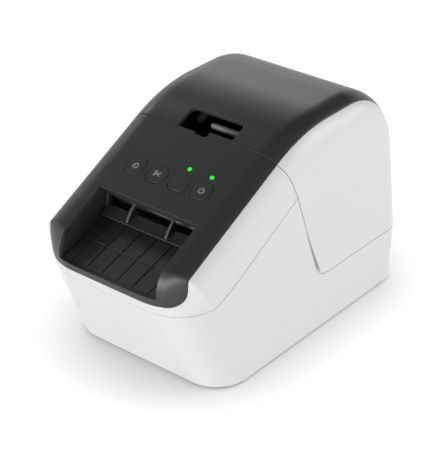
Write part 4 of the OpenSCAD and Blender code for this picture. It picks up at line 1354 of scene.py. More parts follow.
    def lid_sides(self) -> Shape:
        """The pale cheeks of the roll cover and the strip that joins them at the rear.

        Returns:
            Vertices and faces.
        """
        loft, seams = self.loft, self.seams
        below, edge_z = skin_columns(seams, 0.0)
        flat = len(below.x)
        columns = below.and_side(self.side_steps)
        seam = loft.find(columns, self.u_slope, self.u_roof, seams.behind_lid_edge)
        found = loft.find(below, self.u_roof, self.u_end, lambda p: p[..., 2] < edge_z)
        turn = np.append(found, np.full(self.side_steps, found[-1]))
        end = loft.find(columns, self.u_roof, self.u_end, lambda p: p[..., 2] < seams.low[1])
        skin = Skin()
        strip = np.arange(flat - 1, len(columns.x))
        upper = loft.grid(columns, seam, turn, strip)
        lower = loft.grid(columns, turn, end, rows=self.cheek_rows)
        skin.add_both(*upper)
        skin.add_both(*lower)
        rim = np.concatenate([upper[0][:, -1], lower[0][1:, -1]])
        middle = int(np.argmax(rim[:, 1] + rim[:, 2]))
        top, right = rim[:middle + 1], rim[middle:][::-1]
        bend = seams.lid_corner()
        half = len(bend) // 2
        rise = np.concatenate([bend[half::-1], [seams.mid], [top[0, 1:]]])
        left = loft.on_side(along(rise, np.linspace(0, 1, len(right))))
        run = np.concatenate([bend[half:], [right[0, 1:]]])
        bottom = loft.on_side(along(run, np.linspace(0, 1, len(top))))
        bottom[0], bottom[-1] = left[0], right[0]
        left[-1] = top[0]
        skin.add_both(*loft.side_patch(bottom, top, left, right))
        return self.shell(skin)

    def rim_z(self, y: Array) -> Array:
        """Height of the base's rim under the roll cover, eased down to the relief at the rear."""
        middle = self.form.depth / 2 - self.rim_depth
        t = np.clip((y - middle + self.rim_blend / 2) / self.rim_blend, 0, 1)
        return (self.seams.low[1] - self.seams.gap
                - self.rim_relief * t * t * (3 - 2 * t))

    def base(self) -> Shape:
        """The pale case below the seams, open at the foot.

        Returns:
            Vertices and faces.
        """
        loft, seams = self.loft, self.seams
        columns = Columns.at(np.linspace(0, self.base_half, self.base_columns))
        columns = columns.and_side(self.side_steps)
        zero = np.zeros(len(columns.x))
        high = loft.find(columns, 0.0, self.u_roof,
                         lambda p: p[..., 2] > seams.front_z(p[..., 1]))
        front = loft.grid(columns, zero, high)
        top_u = loft.find(columns, self.u_roof, self.u_end,
                          lambda p: p[..., 2] < self.rim_z(p[..., 1]))
        rear = loft.grid(columns, top_u, zero + self.u_end, rows=front[0].shape[0] - 1)
        skin = Skin()
        skin.add_both(*front)
        skin.add_both(*rear)
        left, right = front[0][:, -1], rear[0][::-1, -1]
        peak = seams.meeting(0.0)
        bend = seams.lid_corner() - seams.gap * np.array([seams.gap_ahead, 1.0])
        y = np.linspace(left[-1, 1], peak[0], self.rise_steps)
        rise = np.column_stack([y, seams.front_z(y)])
        run_y = np.linspace(bend[-1, 0], right[-1, 1], self.run_steps)[1:]
        fall = along(np.array([peak, bend[0]]), np.linspace(0, 1, self.fall_steps))
        top = np.concatenate([rise[:-1], fall[:-1], bend,
                              np.column_stack([run_y, self.rim_z(run_y)])])
        share = np.concatenate([[0], np.cumsum(np.linalg.norm(np.diff(top, axis=0), axis=1))])
        floor = np.array([left[0, 1:], right[0, 1:]])
        bottom = loft.on_side(along(floor, share / share[-1]))
        top = loft.on_side(top)
        top[0], top[-1], bottom[0], bottom[-1] = left[-1], right[-1], left[0], right[0]
        skin.add_both(*loft.side_patch(bottom, top, left, right))
        return self.shell(skin)


# -------------------------------------------------------------------------- prisms and strokes
@dataclass
class Block:
    """Closed shapes with plain faces, to be given soft edges by a bevel."""

    points: list[Array] = field(default_factory=list)
    faces: list[list[int]] = field(default_factory=list)
    count: int = 0

    def add(self, points: Array, faces: list[list[int]]) -> "Block":
        """Adds one shape."""
        self.points.append(points)
        self.faces += [[index + self.count for index in face] for face in faces]
        self.count += len(points)
        return self

    def between(self, first: Array, second: Array) -> "Block":
        """Adds the shape between two equal outlines, with a face at each end.

        Args:
            first, second: n points each.

        Returns:
            The block itself.
        """
        n = len(first)
        ring = list(range(n))
        sides = [[i, (i + 1) % n, n + (i + 1) % n, n + i] for i in ring]
        return self.add(np.concatenate([first, second]),
                        [ring[::-1], [n + i for i in ring], *sides])

    def prism(self, profile: Array, x0: float, x1: float) -> "Block":
        """Adds a side view (y, z) drawn out from x0 to x1.

        Args:
            profile: its corners, in either direction round.
            x0, x1: where it starts and ends.

        Returns:
            The block itself.
        """
        profile = np.asarray(profile, float)
        area = np.sum(profile[:, 0] * np.roll(profile[:, 1], -1)
                      - np.roll(profile[:, 0], -1) * profile[:, 1])
        if area < 0:
            profile = profile[::-1]
        return self.between(*(np.column_stack([np.full(len(profile), x), profile])
                              for x in (x0, x1)))

    def pair(self, profile: Array, near: float, far: float) -> "Block":
        """Adds a side view drawn out between two distances from X = 0, on each side."""
        for sign in (-1, 1):
            self.prism(profile, *sorted((sign * near, sign * far)))
        return self

    def build(self, name: str, material: bpy.types.Material, soft: float = 0.25,
              segments: int = 3) -> bpy.types.Object:
        """Makes the object with its bevel.

        Args:
            name: the piece's name.
            material: its finish.
            soft: radius of the soft edges in millimetres.
            segments: steps across them.

        Returns:
            The object.
        """
        mesh = bpy.data.meshes.new(name)
        mesh.from_pydata(np.concatenate(self.points) * MM, [], self.faces)
        mesh.update()
        smooth(mesh)
        mesh.materials.append(material)
        piece = put(name, mesh)
        bevel = piece.modifiers.new("soft", "BEVEL")
        bevel.width = soft * MM
        bevel.segments = segments
        bevel.limit_method = "ANGLE"
        bevel.angle_limit = math.radians(BEVEL_FROM)
        bevel.use_clamp_overlap = True
        weigh(piece)
        return piece


def stroke(path: Array, width: float, low: float, high: float, closed: bool = False) -> Shape:
    """Makes a flat band along a path (x, s), as a closed shape between two heights.

    Args:
        path: its points.
        width: width of the band.
        low, high: heights of its faces.
        closed: whether the path runs back to its start.

    Returns:
        Points (x, s, height) and faces.
    """
    heading = unit(np.roll(path, -1, 0) - np.roll(path, 1, 0) if closed
                   else np.gradient(path, axis=0))
    side = np.column_stack([-heading[:, 1], heading[:, 0]]) * width / 2
    left, right = path + side, path - side
    ring = np.stack([level(right, low), level(left, low),
                     level(left, high), level(right, high)], 1)
    n = len(path)
    index = np.arange(4 * n).reshape(n, 4)
    ahead = np.roll(index, -1, axis=0) if closed else index[1:]
    here = index if closed else index[:-1]
    faces = np.stack([here, ahead, np.roll(ahead, -1, 1), np.roll(here, -1, 1)], -1).reshape(-1, 4)
    if not closed:
        faces = np.concatenate([faces, index[:1], index[-1:, ::-1]])
    return ring.reshape(-1, 3), faces


def circle_path(x: float, s: float, radius: float, start: float = 0.0, end: float = FULL_TURN,
                steps: int = ROUND_STEPS) -> Array:
    """Points of an arc; a full circle leaves out its last point.

    Args:
        x, s: its middle.
        radius: its radius.
        start, end: its angles in degrees.
        steps: along it.

    Returns:
        Points (x, s).
    """
    full = abs(end - start - FULL_TURN) < NEAR
    angles = np.linspace(start, end, steps + 1)[:-1 if full else None]
    return np.array([x, s]) + radius * angle_vector(angles)


def disc(x: float, s: float, radius: float, low: float, high: float) -> Shape:
    """A round plate as points (x, s, height) and faces."""
    ring = circle_path(x, s, radius, steps=DISC_STEPS)
    return tower(np.stack([level(ring, low), level(ring, high)]))


# ------------------------------------------------------------------------------- front parts
class Symbol(Enum):
    """What is printed on a key."""

    FEED = "feed"
    CUT = "cut"
    BARE = "bare"
    POWER = "power"


@dataclass(frozen=True)
class Arc:
    """A stroke along an arc: its middle from the key's middle, radius and angles."""

    x: float
    s: float
    radius: float
    start: float = 0.0
    end: float = FULL_TURN
    weight: float = 1.0

    @property
    def closed(self) -> bool:
        """Whether it is a full circle."""
        return self.end - self.start == FULL_TURN

    def path(self) -> Array:
        """Its points."""
        return circle_path(self.x, self.s, self.radius, self.start, self.end)


@dataclass(frozen=True)
class Line:
    """A stroke along straight steps, its points counted from the key's middle."""

    points: tuple[tuple[float, float], ...]
    weight: float = 1.0
    closed: bool = False

    def path(self) -> Array:
        """Its points."""
        return np.array(self.points)


SYMBOLS: dict[Symbol, tuple[Arc | Line, ...]] = {
    Symbol.POWER: (Arc(0.0, 0.0, 1.75, 125.0, 415.0),
                   Line(((0.0, 0.1), (0.0, 1.2), (0.0, 2.3)))),
    Symbol.CUT: (Arc(-1.5, 1.0, 0.72, weight=0.8),
                 Arc(-1.5, -1.0, 0.72, weight=0.8),
                 Line(((-0.95, 0.55), (0.0, 0.0), (2.3, -1.35))),
                 Line(((-0.95, -0.55), (0.0, 0.0), (2.3, 1.35)))),
    Symbol.FEED: (Arc(0.1, 0.0, 1.6, -90.0, 165.0),
                  Line(((-2.1, -1.2), (-0.6, -1.2), (-0.6, 0.3), (-2.1, 0.3)), 0.8, True),
                  Line(((0.1, -2.3), (-0.8, -1.6), (0.1, -0.9)), 0.8)),
    Symbol.BARE: (),
}


@dataclass(frozen=True)
class Key:
    """One key: its piece, the body it moves with, the CAD node it stands for and its sign."""

    piece: str
    body: str
    node: str
    symbol: Symbol


@dataclass(frozen=True)
class KeyRow:
    """The four keys of the sloped panel and the holes for them and for the two lights."""

    form: HousingForm
    keys: tuple[Key, ...] = (
        Key("feed_key_cap", "feed_key", "feed_button", Symbol.FEED),
        Key("cut_key_cap", "cut_key", "cut_button", Symbol.CUT),
        Key("editor_key_cap", "editor_key", "editor_button", Symbol.BARE),
        Key("power_key_cap", "power_key", "power_button", Symbol.POWER))
    pitch: float = 17.0
    place: float = 53.0
    size: float = 12.1
    radius: float = 3.8
    least_radius: float = 0.3
    proud: float = 0.36
    soft: float = 0.4
    depth: float = 2.9
    flange: float = 1.2
    stem_radius: float = 2.0
    stem_depth: float = 6.2
    stem_overlap: float = 1.0
    ink: float = 0.02
    ink_depth: float = 0.05
    line: float = 0.52
    gap: float = 0.3
    lip: float = 0.25
    cut_depth: float = 4.0
    cut_height: float = 1.0
    light_keys: tuple[int, int] = (2, 3)
    light_rise: float = 10.6
    light_radius: float = 1.36

    def on_slope(self, points: Array) -> Array:
        """Turns (x, s, height) on the slope into X, Y, Z."""
        along_slope, out = angle_vector(self.form.slope), angle_vector(self.form.up)
        yz = self.form.slope_start + points[:, 1:2] * along_slope + points[:, 2:3] * out
        return np.column_stack([points[:, 0], yz])

    def x(self, number: int) -> float:
        """X of a key's middle."""
        return (number - (len(self.keys) - 1) / 2) * self.pitch

    def rings(self, number: int, profile: list[tuple[float, float]], size: float,
              radius: float) -> Array:
        """Lays rings of a rounded square, each let out by an offset at a height.

        Args:
            number: the key whose middle they run round.
            profile: (offset, height) of each ring.
            size, radius: of the square at offset 0.

        Returns:
            Rings of points (x, s, height), as tower takes them.
        """
        centre = np.array([self.x(number), self.place])
        return np.stack([level(centre + rounded_outline(
            size + 2 * grow, size + 2 * grow, max(radius + grow, self.least_radius)), height)
            for grow, height in profile])

    def cap(self, number: int) -> Shape:
        """Makes the cap with its round edge, flange and stem.

        Args:
            number: the key's number in the row.

        Returns:
            Points (x, s, height) and faces.
        """
        arc = [(-self.soft * (1 - math.cos(a)), self.proud - self.soft * (1 - math.sin(a)))
               for a in np.radians(np.linspace(0, RIGHT_ANGLE, 5))]
        cap = tower(self.rings(number, [(0.0, -self.depth), *arc], self.size, self.radius))
        under = [(0.0, -self.depth - self.flange), (0.0, -self.depth)]
        flange = tower(self.rings(number, under, self.size + 2 * self.flange, self.radius))
        stem = disc(self.x(number), self.place, self.stem_radius, -self.stem_depth,
                    -self.depth - self.stem_overlap)
        return several([cap, flange, stem])

    def sign(self, number: int) -> list[Shape]:
        """The strokes printed on a key, none for a bare one."""
        centre = np.array([self.x(number), self.place])
        low, high = self.proud - self.ink_depth, self.proud + self.ink
        return [stroke(centre + part.path(), self.line * part.weight, low, high, part.closed)
                for part in SYMBOLS[self.keys[number].symbol]]

    def holes(self) -> Shape:
        """Cutters for the key and light holes, flared at the surface for a round edge.

        Returns:
            Vertices and faces in X, Y, Z.
        """
        top, lip = -self.form.inset, self.lip
        profile = [(0.0, -self.cut_depth)]
        profile += [(lip * (1 - math.cos(a)), top - lip * (1 - math.sin(a)))
                    for a in np.radians(np.linspace(0, RIGHT_ANGLE, 4))]
        profile.append((lip, self.cut_height))
        parts = [tower(self.rings(number, profile, self.size + 2 * self.gap,
                                  self.radius + self.gap))
                 for number in range(len(self.keys))]
        for number in self.light_keys:
            middle = np.array([self.x(number), self.place + self.light_rise])
            parts.append(tower(np.stack([level(
                middle + circle_path(0, 0, 1.0) * (self.light_radius + grow / 2), height)
                for grow, height in profile])))
        points, faces = several(parts)
        return self.on_slope(points), faces

    def build(self, finish: "PrintedKey", made: bpy.types.Material) -> None:
        """Makes the four caps with their printed signs.

        Args:
            finish: the finish, which names the mesh attribute of the signs.
            made: its material.
        """
        for number, key in enumerate(self.keys):
            cap = self.cap(number)
            points, faces = several([cap, *self.sign(number)])
            piece = make_object(key.piece, self.on_slope(points), faces, made)
            mark = piece.data.attributes.new(finish.attribute, "FLOAT", "FACE")
            printed = np.arange(len(piece.data.polygons)) >= len(cap[1])
            mark.data.foreach_set("value", printed.astype(np.float32))
            weigh(piece)
            dress(piece, key.body, finish.name, key.node)


@dataclass(frozen=True)
class LabelBay:
    """The bay the labels come out into: cheeks, and a floor of tiles between grooves.

    Points are (y, z); s is a length up the slope.
    """

    form: HousingForm
    side: float = 38.3
    wall: float = 1.6
    cheek_depth: tuple[float, float] = (4.4, 2.4)
    cheek_foot: float = 76.0
    cheek_under: float = 8.0
    front: tuple[float, float] = (-103.3, 71.2)
    rear: tuple[float, float] = (-66.0, 82.8)
    lip_under: float = 2.0
    back_foot: float = 66.0
    back_drop: float = 0.5
    columns: int = 6
    pitch: float = 12.0
    groove: float = 0.8
    groove_depth: float = 0.5
    tile_depth: float = 1.2
    tile_overlap: float = 0.4
    front_strip: float = 1.5
    cross_y: float = -84.7
    top_s: float = 36.0
    top_depth: float = 2.9
    slope_s: float = 8.0
    arc_steps: int = 13

    @property
    def back(self) -> float:
        """Y of the rear wall's outer face."""
        return self.rear[0] + self.wall

    def nose_outline(self, depth: tuple[float, float], s: float) -> Array:
        """Draws the body's front in the side view.

        Args:
            depth: how far under the nose and under the slope.
            s: where up the slope it ends.

        Returns:
            Points (y, z).
        """
        turn = np.linspace(HALF_TURN, self.form.up, self.arc_steps)
        arc = self.form.nose + (self.form.nose_radius - depth[0]) * angle_vector(turn)
        return np.concatenate([arc[:-1], [self.form.slope_point(self.slope_s, depth[1]),
                                          self.form.slope_point(s, depth[1])]])

    def tile(self, block: Block, y: tuple[float, float], x: tuple[float, float]) -> None:
        """Adds one raised field of the sloping floor.

        Args:
            block: what it is added to.
            y, x: where it starts and ends.
        """
        front, rear = np.array(self.front), np.array(self.rear)
        slope = (rear[1] - front[1]) / (rear[0] - front[0])
        top = [[place, front[1] + (place - front[0]) * slope] for place in y]
        under = [[place, z - self.tile_depth] for place, z in reversed(top)]
        block.prism(top + under, *x)

    def liner(self) -> Block:
        """Side walls and a floor whose top is cut into tiles by the grooves."""
        block = Block()
        front, rear = np.array(self.front), np.array(self.rear)
        top = self.nose_outline(self.cheek_depth, self.top_s)
        cheek = np.concatenate([[rear - [0, self.cheek_under], front - [0, self.lip_under]], top,
                                [[self.form.slope_point(self.top_s, self.top_depth)[0],
                                  self.cheek_foot]]])
        outer = self.side + self.wall
        for sign in (-1, 1):
            block.prism(cheek, sign * self.side, sign * outer)
        down = np.array([0.0, self.groove_depth])
        block.prism([front - down, rear - down, [self.back, rear[1] - self.back_drop],
                     [self.back, self.back_foot], [rear[0], self.back_foot],
                     rear - [0, self.lip_under], front - [0, self.lip_under]], -outer, outer)
        end = self.side + self.tile_overlap
        lines = (np.arange(self.columns) - (self.columns - 1) / 2) * self.pitch
        edges = np.concatenate([[-end], lines, [end]])
        half, strip = self.groove / 2, front[0] + self.front_strip
        self.tile(block, (front[0], strip), (-end, end))
        for x0, x1 in zip(edges[:-1], edges[1:]):
            x = (x0 + (half if x0 > -self.side else 0), x1 - (half if x1 < self.side else 0))
            self.tile(block, (strip, self.cross_y - half), x)
            self.tile(block, (self.cross_y + half, rear[0]), x)
        return block


@dataclass(frozen=True)
class LabelGuide:
    """The lip the labels slide over, the fins over it, its end cheeks and the hood.

    Points are (y, z); s is a length up the slope.
    """

    bay: LabelBay
    gap: float = 0.3
    slot_low: float = 88.6
    slot_high: float = 96.6
    plate_front: tuple[float, float] = (-71.1, 87.1)
    plate_half: float = 36.4
    plate_length: float = 9.0
    plate_corner: float = 3.0
    plate_angle: float = 22.0
    plate_t: float = 0.9
    apron_foot: float = 74.0
    apron_t: float = 1.6
    fin_x: float = 15.3
    fin_t: float = 2.0
    fin_foot: tuple[float, float] = (1.0, 0.8)
    fin_top: tuple[float, float] = (5.0, 6.4)
    fin_back: float = 2.6
    fin_under: float = 1.0
    cheek_t: float = 2.0
    cheek_y: tuple[float, float] = (1.2, 3.4)
    cheek_z: tuple[float, float] = (2.0, 1.0)
    hood_s: float = 32.0
    hood_lengths: tuple[float, float] = (1.6, 3.6)
    hood_depths: tuple[float, float] = (2.9, 4.5)
    hood_y: tuple[float, float] = (2.0, 3.6)

    def block(self) -> Block:
        """All its parts as plain shapes."""
        block = Block()
        self.plate(block)
        self.fins(block)
        self.hood(block)
        return block

    def plate(self, block: Block) -> None:
        """Adds the tilted lip and the apron under its front edge."""
        half, start = self.bay.side - self.gap, self.bay.back + self.gap
        flat = rounded_outline(2 * self.plate_half, self.plate_length, self.plate_corner)
        rise = angle_vector(self.plate_angle)
        centre = np.array(self.plate_front) + self.plate_length / 2 * rise
        lip = np.column_stack([flat[:, 0], centre + flat[:, 1:] * rise])
        block.between(lip, lip + np.array([0.0, rise[1], -rise[0]]) * self.plate_t)
        top, end = self.plate_front[1], start + self.apron_t
        block.prism([[start, self.apron_foot], [start, top], [end, top],
                     [end, self.apron_foot]], -half, half)

    def fins(self, block: Block) -> None:
        """Adds the two fins over the lip."""
        front, back = np.array(self.plate_front), self.bay.back + self.fin_back
        foot, top = front + self.fin_foot, front + self.fin_top
        for x in (-self.fin_x, self.fin_x):
            block.prism([foot, top, [back, self.slot_high + 1], [back, foot[1] - self.fin_under],
                         foot - [0, self.fin_under]],
                        x - self.fin_t / 2, x + self.fin_t / 2)

    def hood(self, block: Block) -> None:
        """Adds the cheeks at the slot's ends and the hood between them."""
        half, back = self.bay.side - self.gap, self.bay.back
        low, high = self.slot_low - self.cheek_z[0], self.slot_high + self.cheek_z[1]
        block.pair([[back + self.gap, low], [back + self.cheek_y[0], high],
                    [back + self.cheek_y[1], high], [back + self.cheek_y[1], low]],
                   half - self.cheek_t, half)
        near, far = (self.hood_s + length for length in self.hood_lengths)
        point, (under, deep) = self.bay.form.slope_point, self.hood_depths
        block.prism([point(near, under), point(near, deep),
                     [back + self.hood_y[0], self.slot_high],
                     [back + self.hood_y[1], self.slot_high], point(far, under)], -half, half)


@dataclass(frozen=True)
class HingeLugs:
    """The lugs behind the roll cover that hold the hinge pins."""

    centre: tuple[float, float] = (100.20, 54.0)
    radius: float = 3.0
    thickness: float = 2.5
    starts: tuple[float, float] = (36.0, 45.5)
    web: tuple[tuple[float, float], ...] = ((3.2, -4.0), (2.5, 5.0))
    arc_steps: int = 17

    def block(self) -> Block:
        """The four lugs as half discs joined to the wall by a web."""
        block = Block()
        centre = np.array(self.centre)
        turn = np.linspace(RIGHT_ANGLE, 3 * RIGHT_ANGLE, self.arc_steps)
        outline = np.concatenate([centre + self.radius * angle_vector(turn),
                                  centre + np.array(self.web)])
        for x in self.starts:
            block.prism(outline, x, x + self.thickness)
            block.prism(outline, -x - self.thickness, -x)
        return block


# --------------------------------------------------------------------------------- materials
@dataclass(frozen=True)
class PrintedKey:
    """Dark key plastic whose printed sign is marked by the mesh attribute "ink"."""

    name: str
    plastic: Colour = (0.184, 0.186, 0.189)
    ink: Colour = (0.66, 0.66, 0.66)
    attribute: str = "ink"
    shade: float = 0.06
    roughness: float = 0.39
    rough_spread: float = 0.06
    specular: float = 0.38
    cloud_scale: float = 40.0
    grain_scale: float = 2600.0
    grain: float = 0.00001

    def build(self) -> bpy.types.Material:
        """Builds the node tree.

        Returns:
            The finished material.
        """
        shader = Shader(self.name)
        mark = shader.node("ShaderNodeAttribute", out="Fac",
                           settings={"attribute_name": self.attribute})
        cloud = shader.noise(self.cloud_scale, 3.0)
        base = shader.blend(mark, shader.blend(cloud, shaded(self.plastic, 1 - self.shade),
                                               shaded(self.plastic, 1 + self.shade)),
                            linear(*self.ink))
        shader.set(Base_Color=base, Roughness=cloud * self.rough_spread + self.roughness,
                   Specular_IOR_Level=self.specular)
        shader.bump(shader.noise(self.grain_scale), self.grain)
        return shader.material


FINISHES = {
    "white_cover": MouldedPlastic("white_cover", (0.808, 0.811, 0.815), 0.42, shade=0.006),
    "bottom_plate": MouldedPlastic("bottom_plate", (0.80, 0.80, 0.80), 0.5),
    "dark_panel": MouldedPlastic("dark_panel", (0.184, 0.186, 0.189), 0.40, shade=0.006,
                                 specular=0.38),
    "dark_roof": MouldedPlastic("dark_roof", (0.194, 0.196, 0.199), 0.33, shade=0.006,
                                height=0.000008, specular=0.38),
    "bay_plastic": MouldedPlastic("bay_plastic", (0.158, 0.160, 0.163), 0.42, shade=0.008),
    "key_plastic": PrintedKey("key_plastic"),
    "green_light": SignalLight("green_light"),
    "inner_black": MouldedPlastic("inner_black", (0.12, 0.12, 0.125), 0.5),
    "grey_bar": MouldedPlastic("grey_bar", (0.52, 0.525, 0.53), 0.35),
    "foot_rubber": GroundRubber("foot_rubber", (0.11, 0.11, 0.11)),
    "roller_rubber": GroundRubber("roller_rubber", (0.09, 0.09, 0.095)),
    "plain_steel": LinedMetal("plain_steel", (0.76, 0.76, 0.77), 0.28, Lay.TURNED),
    "sheet_steel": LinedMetal("sheet_steel", (0.66, 0.68, 0.70), 0.40, Lay.ALONG_Y),
    "bearing_plastic": MouldedPlastic("bearing_plastic", (0.82, 0.78, 0.68), 0.45),
    "gear_plastic": MouldedPlastic("gear_plastic", (0.90, 0.89, 0.85), 0.38),
    "pinion_brass": LinedMetal("pinion_brass", (0.84, 0.70, 0.42), 0.25, Lay.TURNED),
    "motor_can": LinedMetal("motor_can", (0.50, 0.50, 0.51), 0.42, Lay.TURNED),
    "head_aluminium": LinedMetal("head_aluminium", (0.80, 0.80, 0.81), 0.36, Lay.ALONG_X),
    "head_ceramic": MouldedPlastic("head_ceramic", (0.55, 0.50, 0.40), 0.25),
    "cutter_plastic": MouldedPlastic("cutter_plastic", (0.24, 0.245, 0.25), 0.45),
    "blade_steel": LinedMetal("blade_steel", (0.80, 0.81, 0.82), 0.22, Lay.ALONG_X),
    "circuit_board": CircuitBoard("circuit_board"),
    "inlet_black": MouldedPlastic("inlet_black", (0.07, 0.07, 0.072), 0.45),
    "socket_metal": LinedMetal("socket_metal", (0.74, 0.74, 0.74), 0.3, Lay.ALONG_Y),
}


def dress_cad(record: dict, made: dict[str, bpy.types.Material]) -> None:
    """Gives each carried-over CAD node the finish of its slot in the record.

    Args:
        record: the frame's record.
        made: the materials by slot.
    """
    slots = {part["node"]: part["material_slot"] for part in record["subparts"]}
    for name, node in frame["nodes"].items():
        finish = made[slots[name]]
        for place in node.material_slots:
            place.material = finish
        if not node.material_slots:
            node.data.materials.append(finish)


# ------------------------------------------------------------------------------------- studio
@dataclass(frozen=True)
class Lamp:
    """One soft lamp: its place and its width and height in metres, and its power in watts."""

    name: str
    place: tuple[float, float, float]
    size: tuple[float, float]
    power: float

    def build(self, aim: tuple[float, float, float]) -> None:
        """Makes the lamp, turned to a point."""
        data = bpy.data.lights.new(self.name, "AREA")
        data.shape, data.size, data.size_y = "RECTANGLE", *self.size
        data.energy = self.power
        lamp = put(self.name, data)
        lamp.location = self.place
        lamp.rotation_mode = "QUATERNION"
        lamp.rotation_quaternion = (Vector(aim) - Vector(self.place)).to_track_quat("-Z", "Y")


@dataclass(frozen=True)
class Paper:
    """A stage sheet's finish: it glows for the camera and in reflections only.

    Near the product the glow fades by the ambient occlusion to a power, which paints a contact
    shadow on the sheet.
    """

    name: str
    glow: float
    base: float
    shown: float
    contact: float = 0.055
    fade: float = 0.75
    samples: int = 16
    roughness: float = 0.9
    specular: float = 0.1

    def build(self) -> bpy.types.Material:
        """Builds the node tree.

        Returns:
            The finished material.
        """
        shader = Shader(self.name)
        seen = shader.node("ShaderNodeLightPath", out="Is Camera Ray")
        gloss, through = (Socket(shader.tree, seen.output.node.outputs[name])
                          for name in ("Is Glossy Ray", "Is Transmission Ray"))
        seen = (seen + gloss + through).clamped()
        # painted contact shadow: ambient occlusion near the product darkens the glow
        near = shader.node("ShaderNodeAmbientOcclusion", out="AO", Distance=self.contact,
                           settings={"samples": self.samples})
        shader.set(Base_Color=shader.blend(seen, linear(*[self.base] * 3),
                                           linear(*[self.shown] * 3)),
                   Roughness=self.roughness, Specular_IOR_Level=self.specular,
                   Emission_Strength=1.0,
                   Emission_Color=shader.blend(seen * near ** self.fade, BLACK,
                                               (self.glow, self.glow, self.glow, 1.0)))
        return shader.material

    def sheet(self, vertices: list, faces: list) -> None:
        """Makes a stage sheet of it from vertices in metres."""
        mesh = bpy.data.meshes.new(self.name)
        mesh.from_pydata(vertices, [], faces)
        mesh.update()
        mesh.materials.append(self.build())
        put(self.name, mesh)


@dataclass(frozen=True)
class Studio:
    """Camera, pale floor and soft lamps. Camera numbers are in millimetres and degrees."""

    focal: float = 1579.87
    long_side: float = 451.0
    azimuth: float = 40.43
    elevation: float = 29.72
    roll: float = -1.12
    offset: tuple[float, float] = (-0.12, -0.19)
    distance: float = 978.56
    principal: tuple[float, float] = (0.07, -0.12)
    look_z: float = 60.0
    sensor: float = 36.0
    clip: tuple[float, float] = (0.01, 50.0)
    floor: Paper = Paper("floor_paper", 1.0, 0.985, 0.5)
    backdrop: Paper = Paper("backdrop_paper", 1.0, 0.05, 0.05)
    floor_radius: float = 3.0
    floor_steps: int = 64
    wall_height: float = 1.7
    ambient: float = 0.03
    aim: tuple[float, float, float] = (0.0, 0.0, 0.07)
    lamps: tuple[Lamp, ...] = (
        Lamp("key", (-1.63, 0.35, 1.10), (0.28, 0.28), 1.8),
        Lamp("key_high", (-1.3, 0.4, 1.5), (0.28, 0.28), 0.95),
        Lamp("left_front", (-1.3, -1.4, 1.1), (1.0, 1.0), 8.6),
        Lamp("left_back", (-1.3, 1.4, 1.1), (1.0, 1.0), 4.2),
        Lamp("right_back", (1.5, 1.4, 1.1), (1.0, 1.0), 27.0),
        Lamp("right_low", (2.0, -0.4, 0.25), (1.2, 0.5), 21.0),
        Lamp("front_low", (-0.3, -2.1, 0.25), (1.4, 0.5), 37.0))

    def camera(self) -> None:
        """Makes the camera: its axes follow from azimuth, elevation and roll."""
        a, e, r = (math.radians(v) for v in (self.azimuth, self.elevation, self.roll))
        back = np.array([math.sin(a) * math.cos(e), -math.cos(a) * math.cos(e), math.sin(e)])
        right = np.array([math.cos(a), math.sin(a), 0.0])
        up = np.cross(back, right)
        axes = np.array([right * math.cos(r) + up * math.sin(r),
                         -right * math.sin(r) + up * math.cos(r), back])
        place = axes.T @ np.array([*self.offset, self.distance]) + [0, 0, self.look_z]
        data = bpy.data.cameras.new("camera")
        data.sensor_width = self.sensor
        data.lens = self.focal * data.sensor_width / self.long_side
        data.shift_x = -self.principal[0] / self.long_side
        data.shift_y = self.principal[1] / self.long_side
        data.clip_start, data.clip_end = self.clip
        camera = put("camera", data)
        camera.matrix_world = Matrix([[*axes[:, row], place[row] * MM] for row in range(3)]
                                     + [[0, 0, 0, 1]])
        bpy.context.scene.camera = camera

    def papers(self) -> None:
        """A round pale floor, and a white wall round it."""
        steps = self.floor_steps
        ring = self.floor_radius * angle_vector(np.linspace(0, FULL_TURN, steps + 1)[:-1])
        floor = [(x, y, 0.0) for x, y in ring]
        self.floor.sheet(floor, [list(range(steps))])
        self.backdrop.sheet(floor + [(x, y, self.wall_height) for x, y in ring],
                            [[i, (i + 1) % steps, steps + (i + 1) % steps, steps + i]
                             for i in range(steps)])

    def world(self) -> None:
        """Dim even surroundings above the wall."""
        world = bpy.data.worlds.new("surroundings")
        world.use_nodes = True
        plain = world.node_tree.nodes["Background"]
        plain.inputs["Color"].default_value = (1, 1, 1, 1)
        plain.inputs["Strength"].default_value = self.ambient
        bpy.context.scene.world = world

    def build(self) -> None:
        """Sets the whole studio up."""
        bpy.context.scene.view_settings.view_transform = "Standard"
        self.camera()
        self.papers()
        self.world()
        for lamp in self.lamps:
            lamp.build(self.aim)


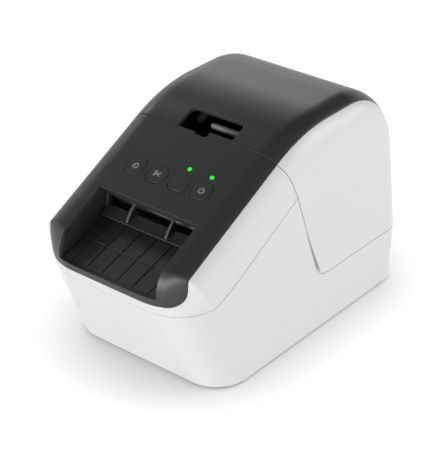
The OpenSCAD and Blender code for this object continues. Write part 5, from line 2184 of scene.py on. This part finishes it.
# --------------------------------------------------------------------------------------- main
@dataclass(frozen=True)
class RearOpening:
    """An opening for a socket in the rear wall."""

    x: float
    z: float
    width: float
    height: float
    corner: float
    reach: float = 4.0

    def cutter(self, y: float) -> Shape:
        """A closed shape of the opening, reaching to both sides of the wall at y."""
        flat = rounded_outline(self.width, self.height, self.corner)
        ring = np.column_stack([self.x - flat[:, 0], np.full(len(flat), y - self.reach),
                                self.z + flat[:, 1]])
        return tower(np.stack([ring, ring + [0, 2 * self.reach, 0]]))


REAR_OPENINGS = (RearOpening(31.0, 19.5, 20.6, 12.2, 4.7),
                 RearOpening(-28.0, 17.1, 12.6, 11.4, 1.0))


def cover(name: str, shape: Shape, ride: tuple[str, str, str],
          made: dict[str, bpy.types.Material], cut: Shape | None = None,
          crossing: bool = False) -> None:
    """Makes one outer cover.

    Args:
        name: the piece's name.
        shape: its vertices and faces.
        ride: the body it moves with, its material slot and the CAD node it takes the place of.
        made: the materials by slot.
        cut: closed shapes to cut out of it.
        crossing: whether its own walls may cross under the cut.
    """
    body, slot, node = ride
    piece = make_object(name, *shape, made[slot])
    if cut:
        carve(piece, cut, crossing)
    weigh(piece)
    dress(piece, body, slot, node)


def main() -> None:
    """Builds the pieces in order, dresses the frame and sets up the studio."""
    logging.basicConfig(level=logging.INFO, format="%(message)s")
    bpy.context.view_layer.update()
    form = HousingForm()
    covers = Covers(form, Seams(form))
    keys, bay = KeyRow(form), LabelBay(form)
    made = {slot: finish.build() for slot, finish in FINISHES.items()}
    dress_cad(frame["record"], made)

    cover("panel_shell", covers.front_panel(), ("base", "dark_panel", "front_panel"), made,
          keys.holes(), crossing=True)
    keys.build(FINISHES["key_plastic"], made["key_plastic"])
    cover("roof_shell", covers.roof(), ("lid", "dark_roof", "lid_top"), made)
    cover("front_shell", covers.front_cover(), ("base", "white_cover", "front_cover"), made)
    cover("lid_side_shell", covers.lid_sides(), ("lid", "white_cover", "lid_shell"), made)
    lugs = HingeLugs().block().build("hinge_lugs", made["white_cover"])
    dress(lugs, "lid", "white_cover")
    cover("base_shell", covers.base(), ("base", "white_cover", "base_case"), made,
          several([opening.cutter(form.depth / 2) for opening in REAR_OPENINGS]))

    liner = bay.liner().build("bay_liner", made["bay_plastic"], 0.15)
    dress(liner, "base", "bay_plastic", "exit_bay")
    guide = LabelGuide(bay).block().build("label_guide", made["bay_plastic"], 0.3)
    dress(guide, "base", "bay_plastic", "exit_guide")

    Studio().build()


if __name__ == "__main__":
    main()
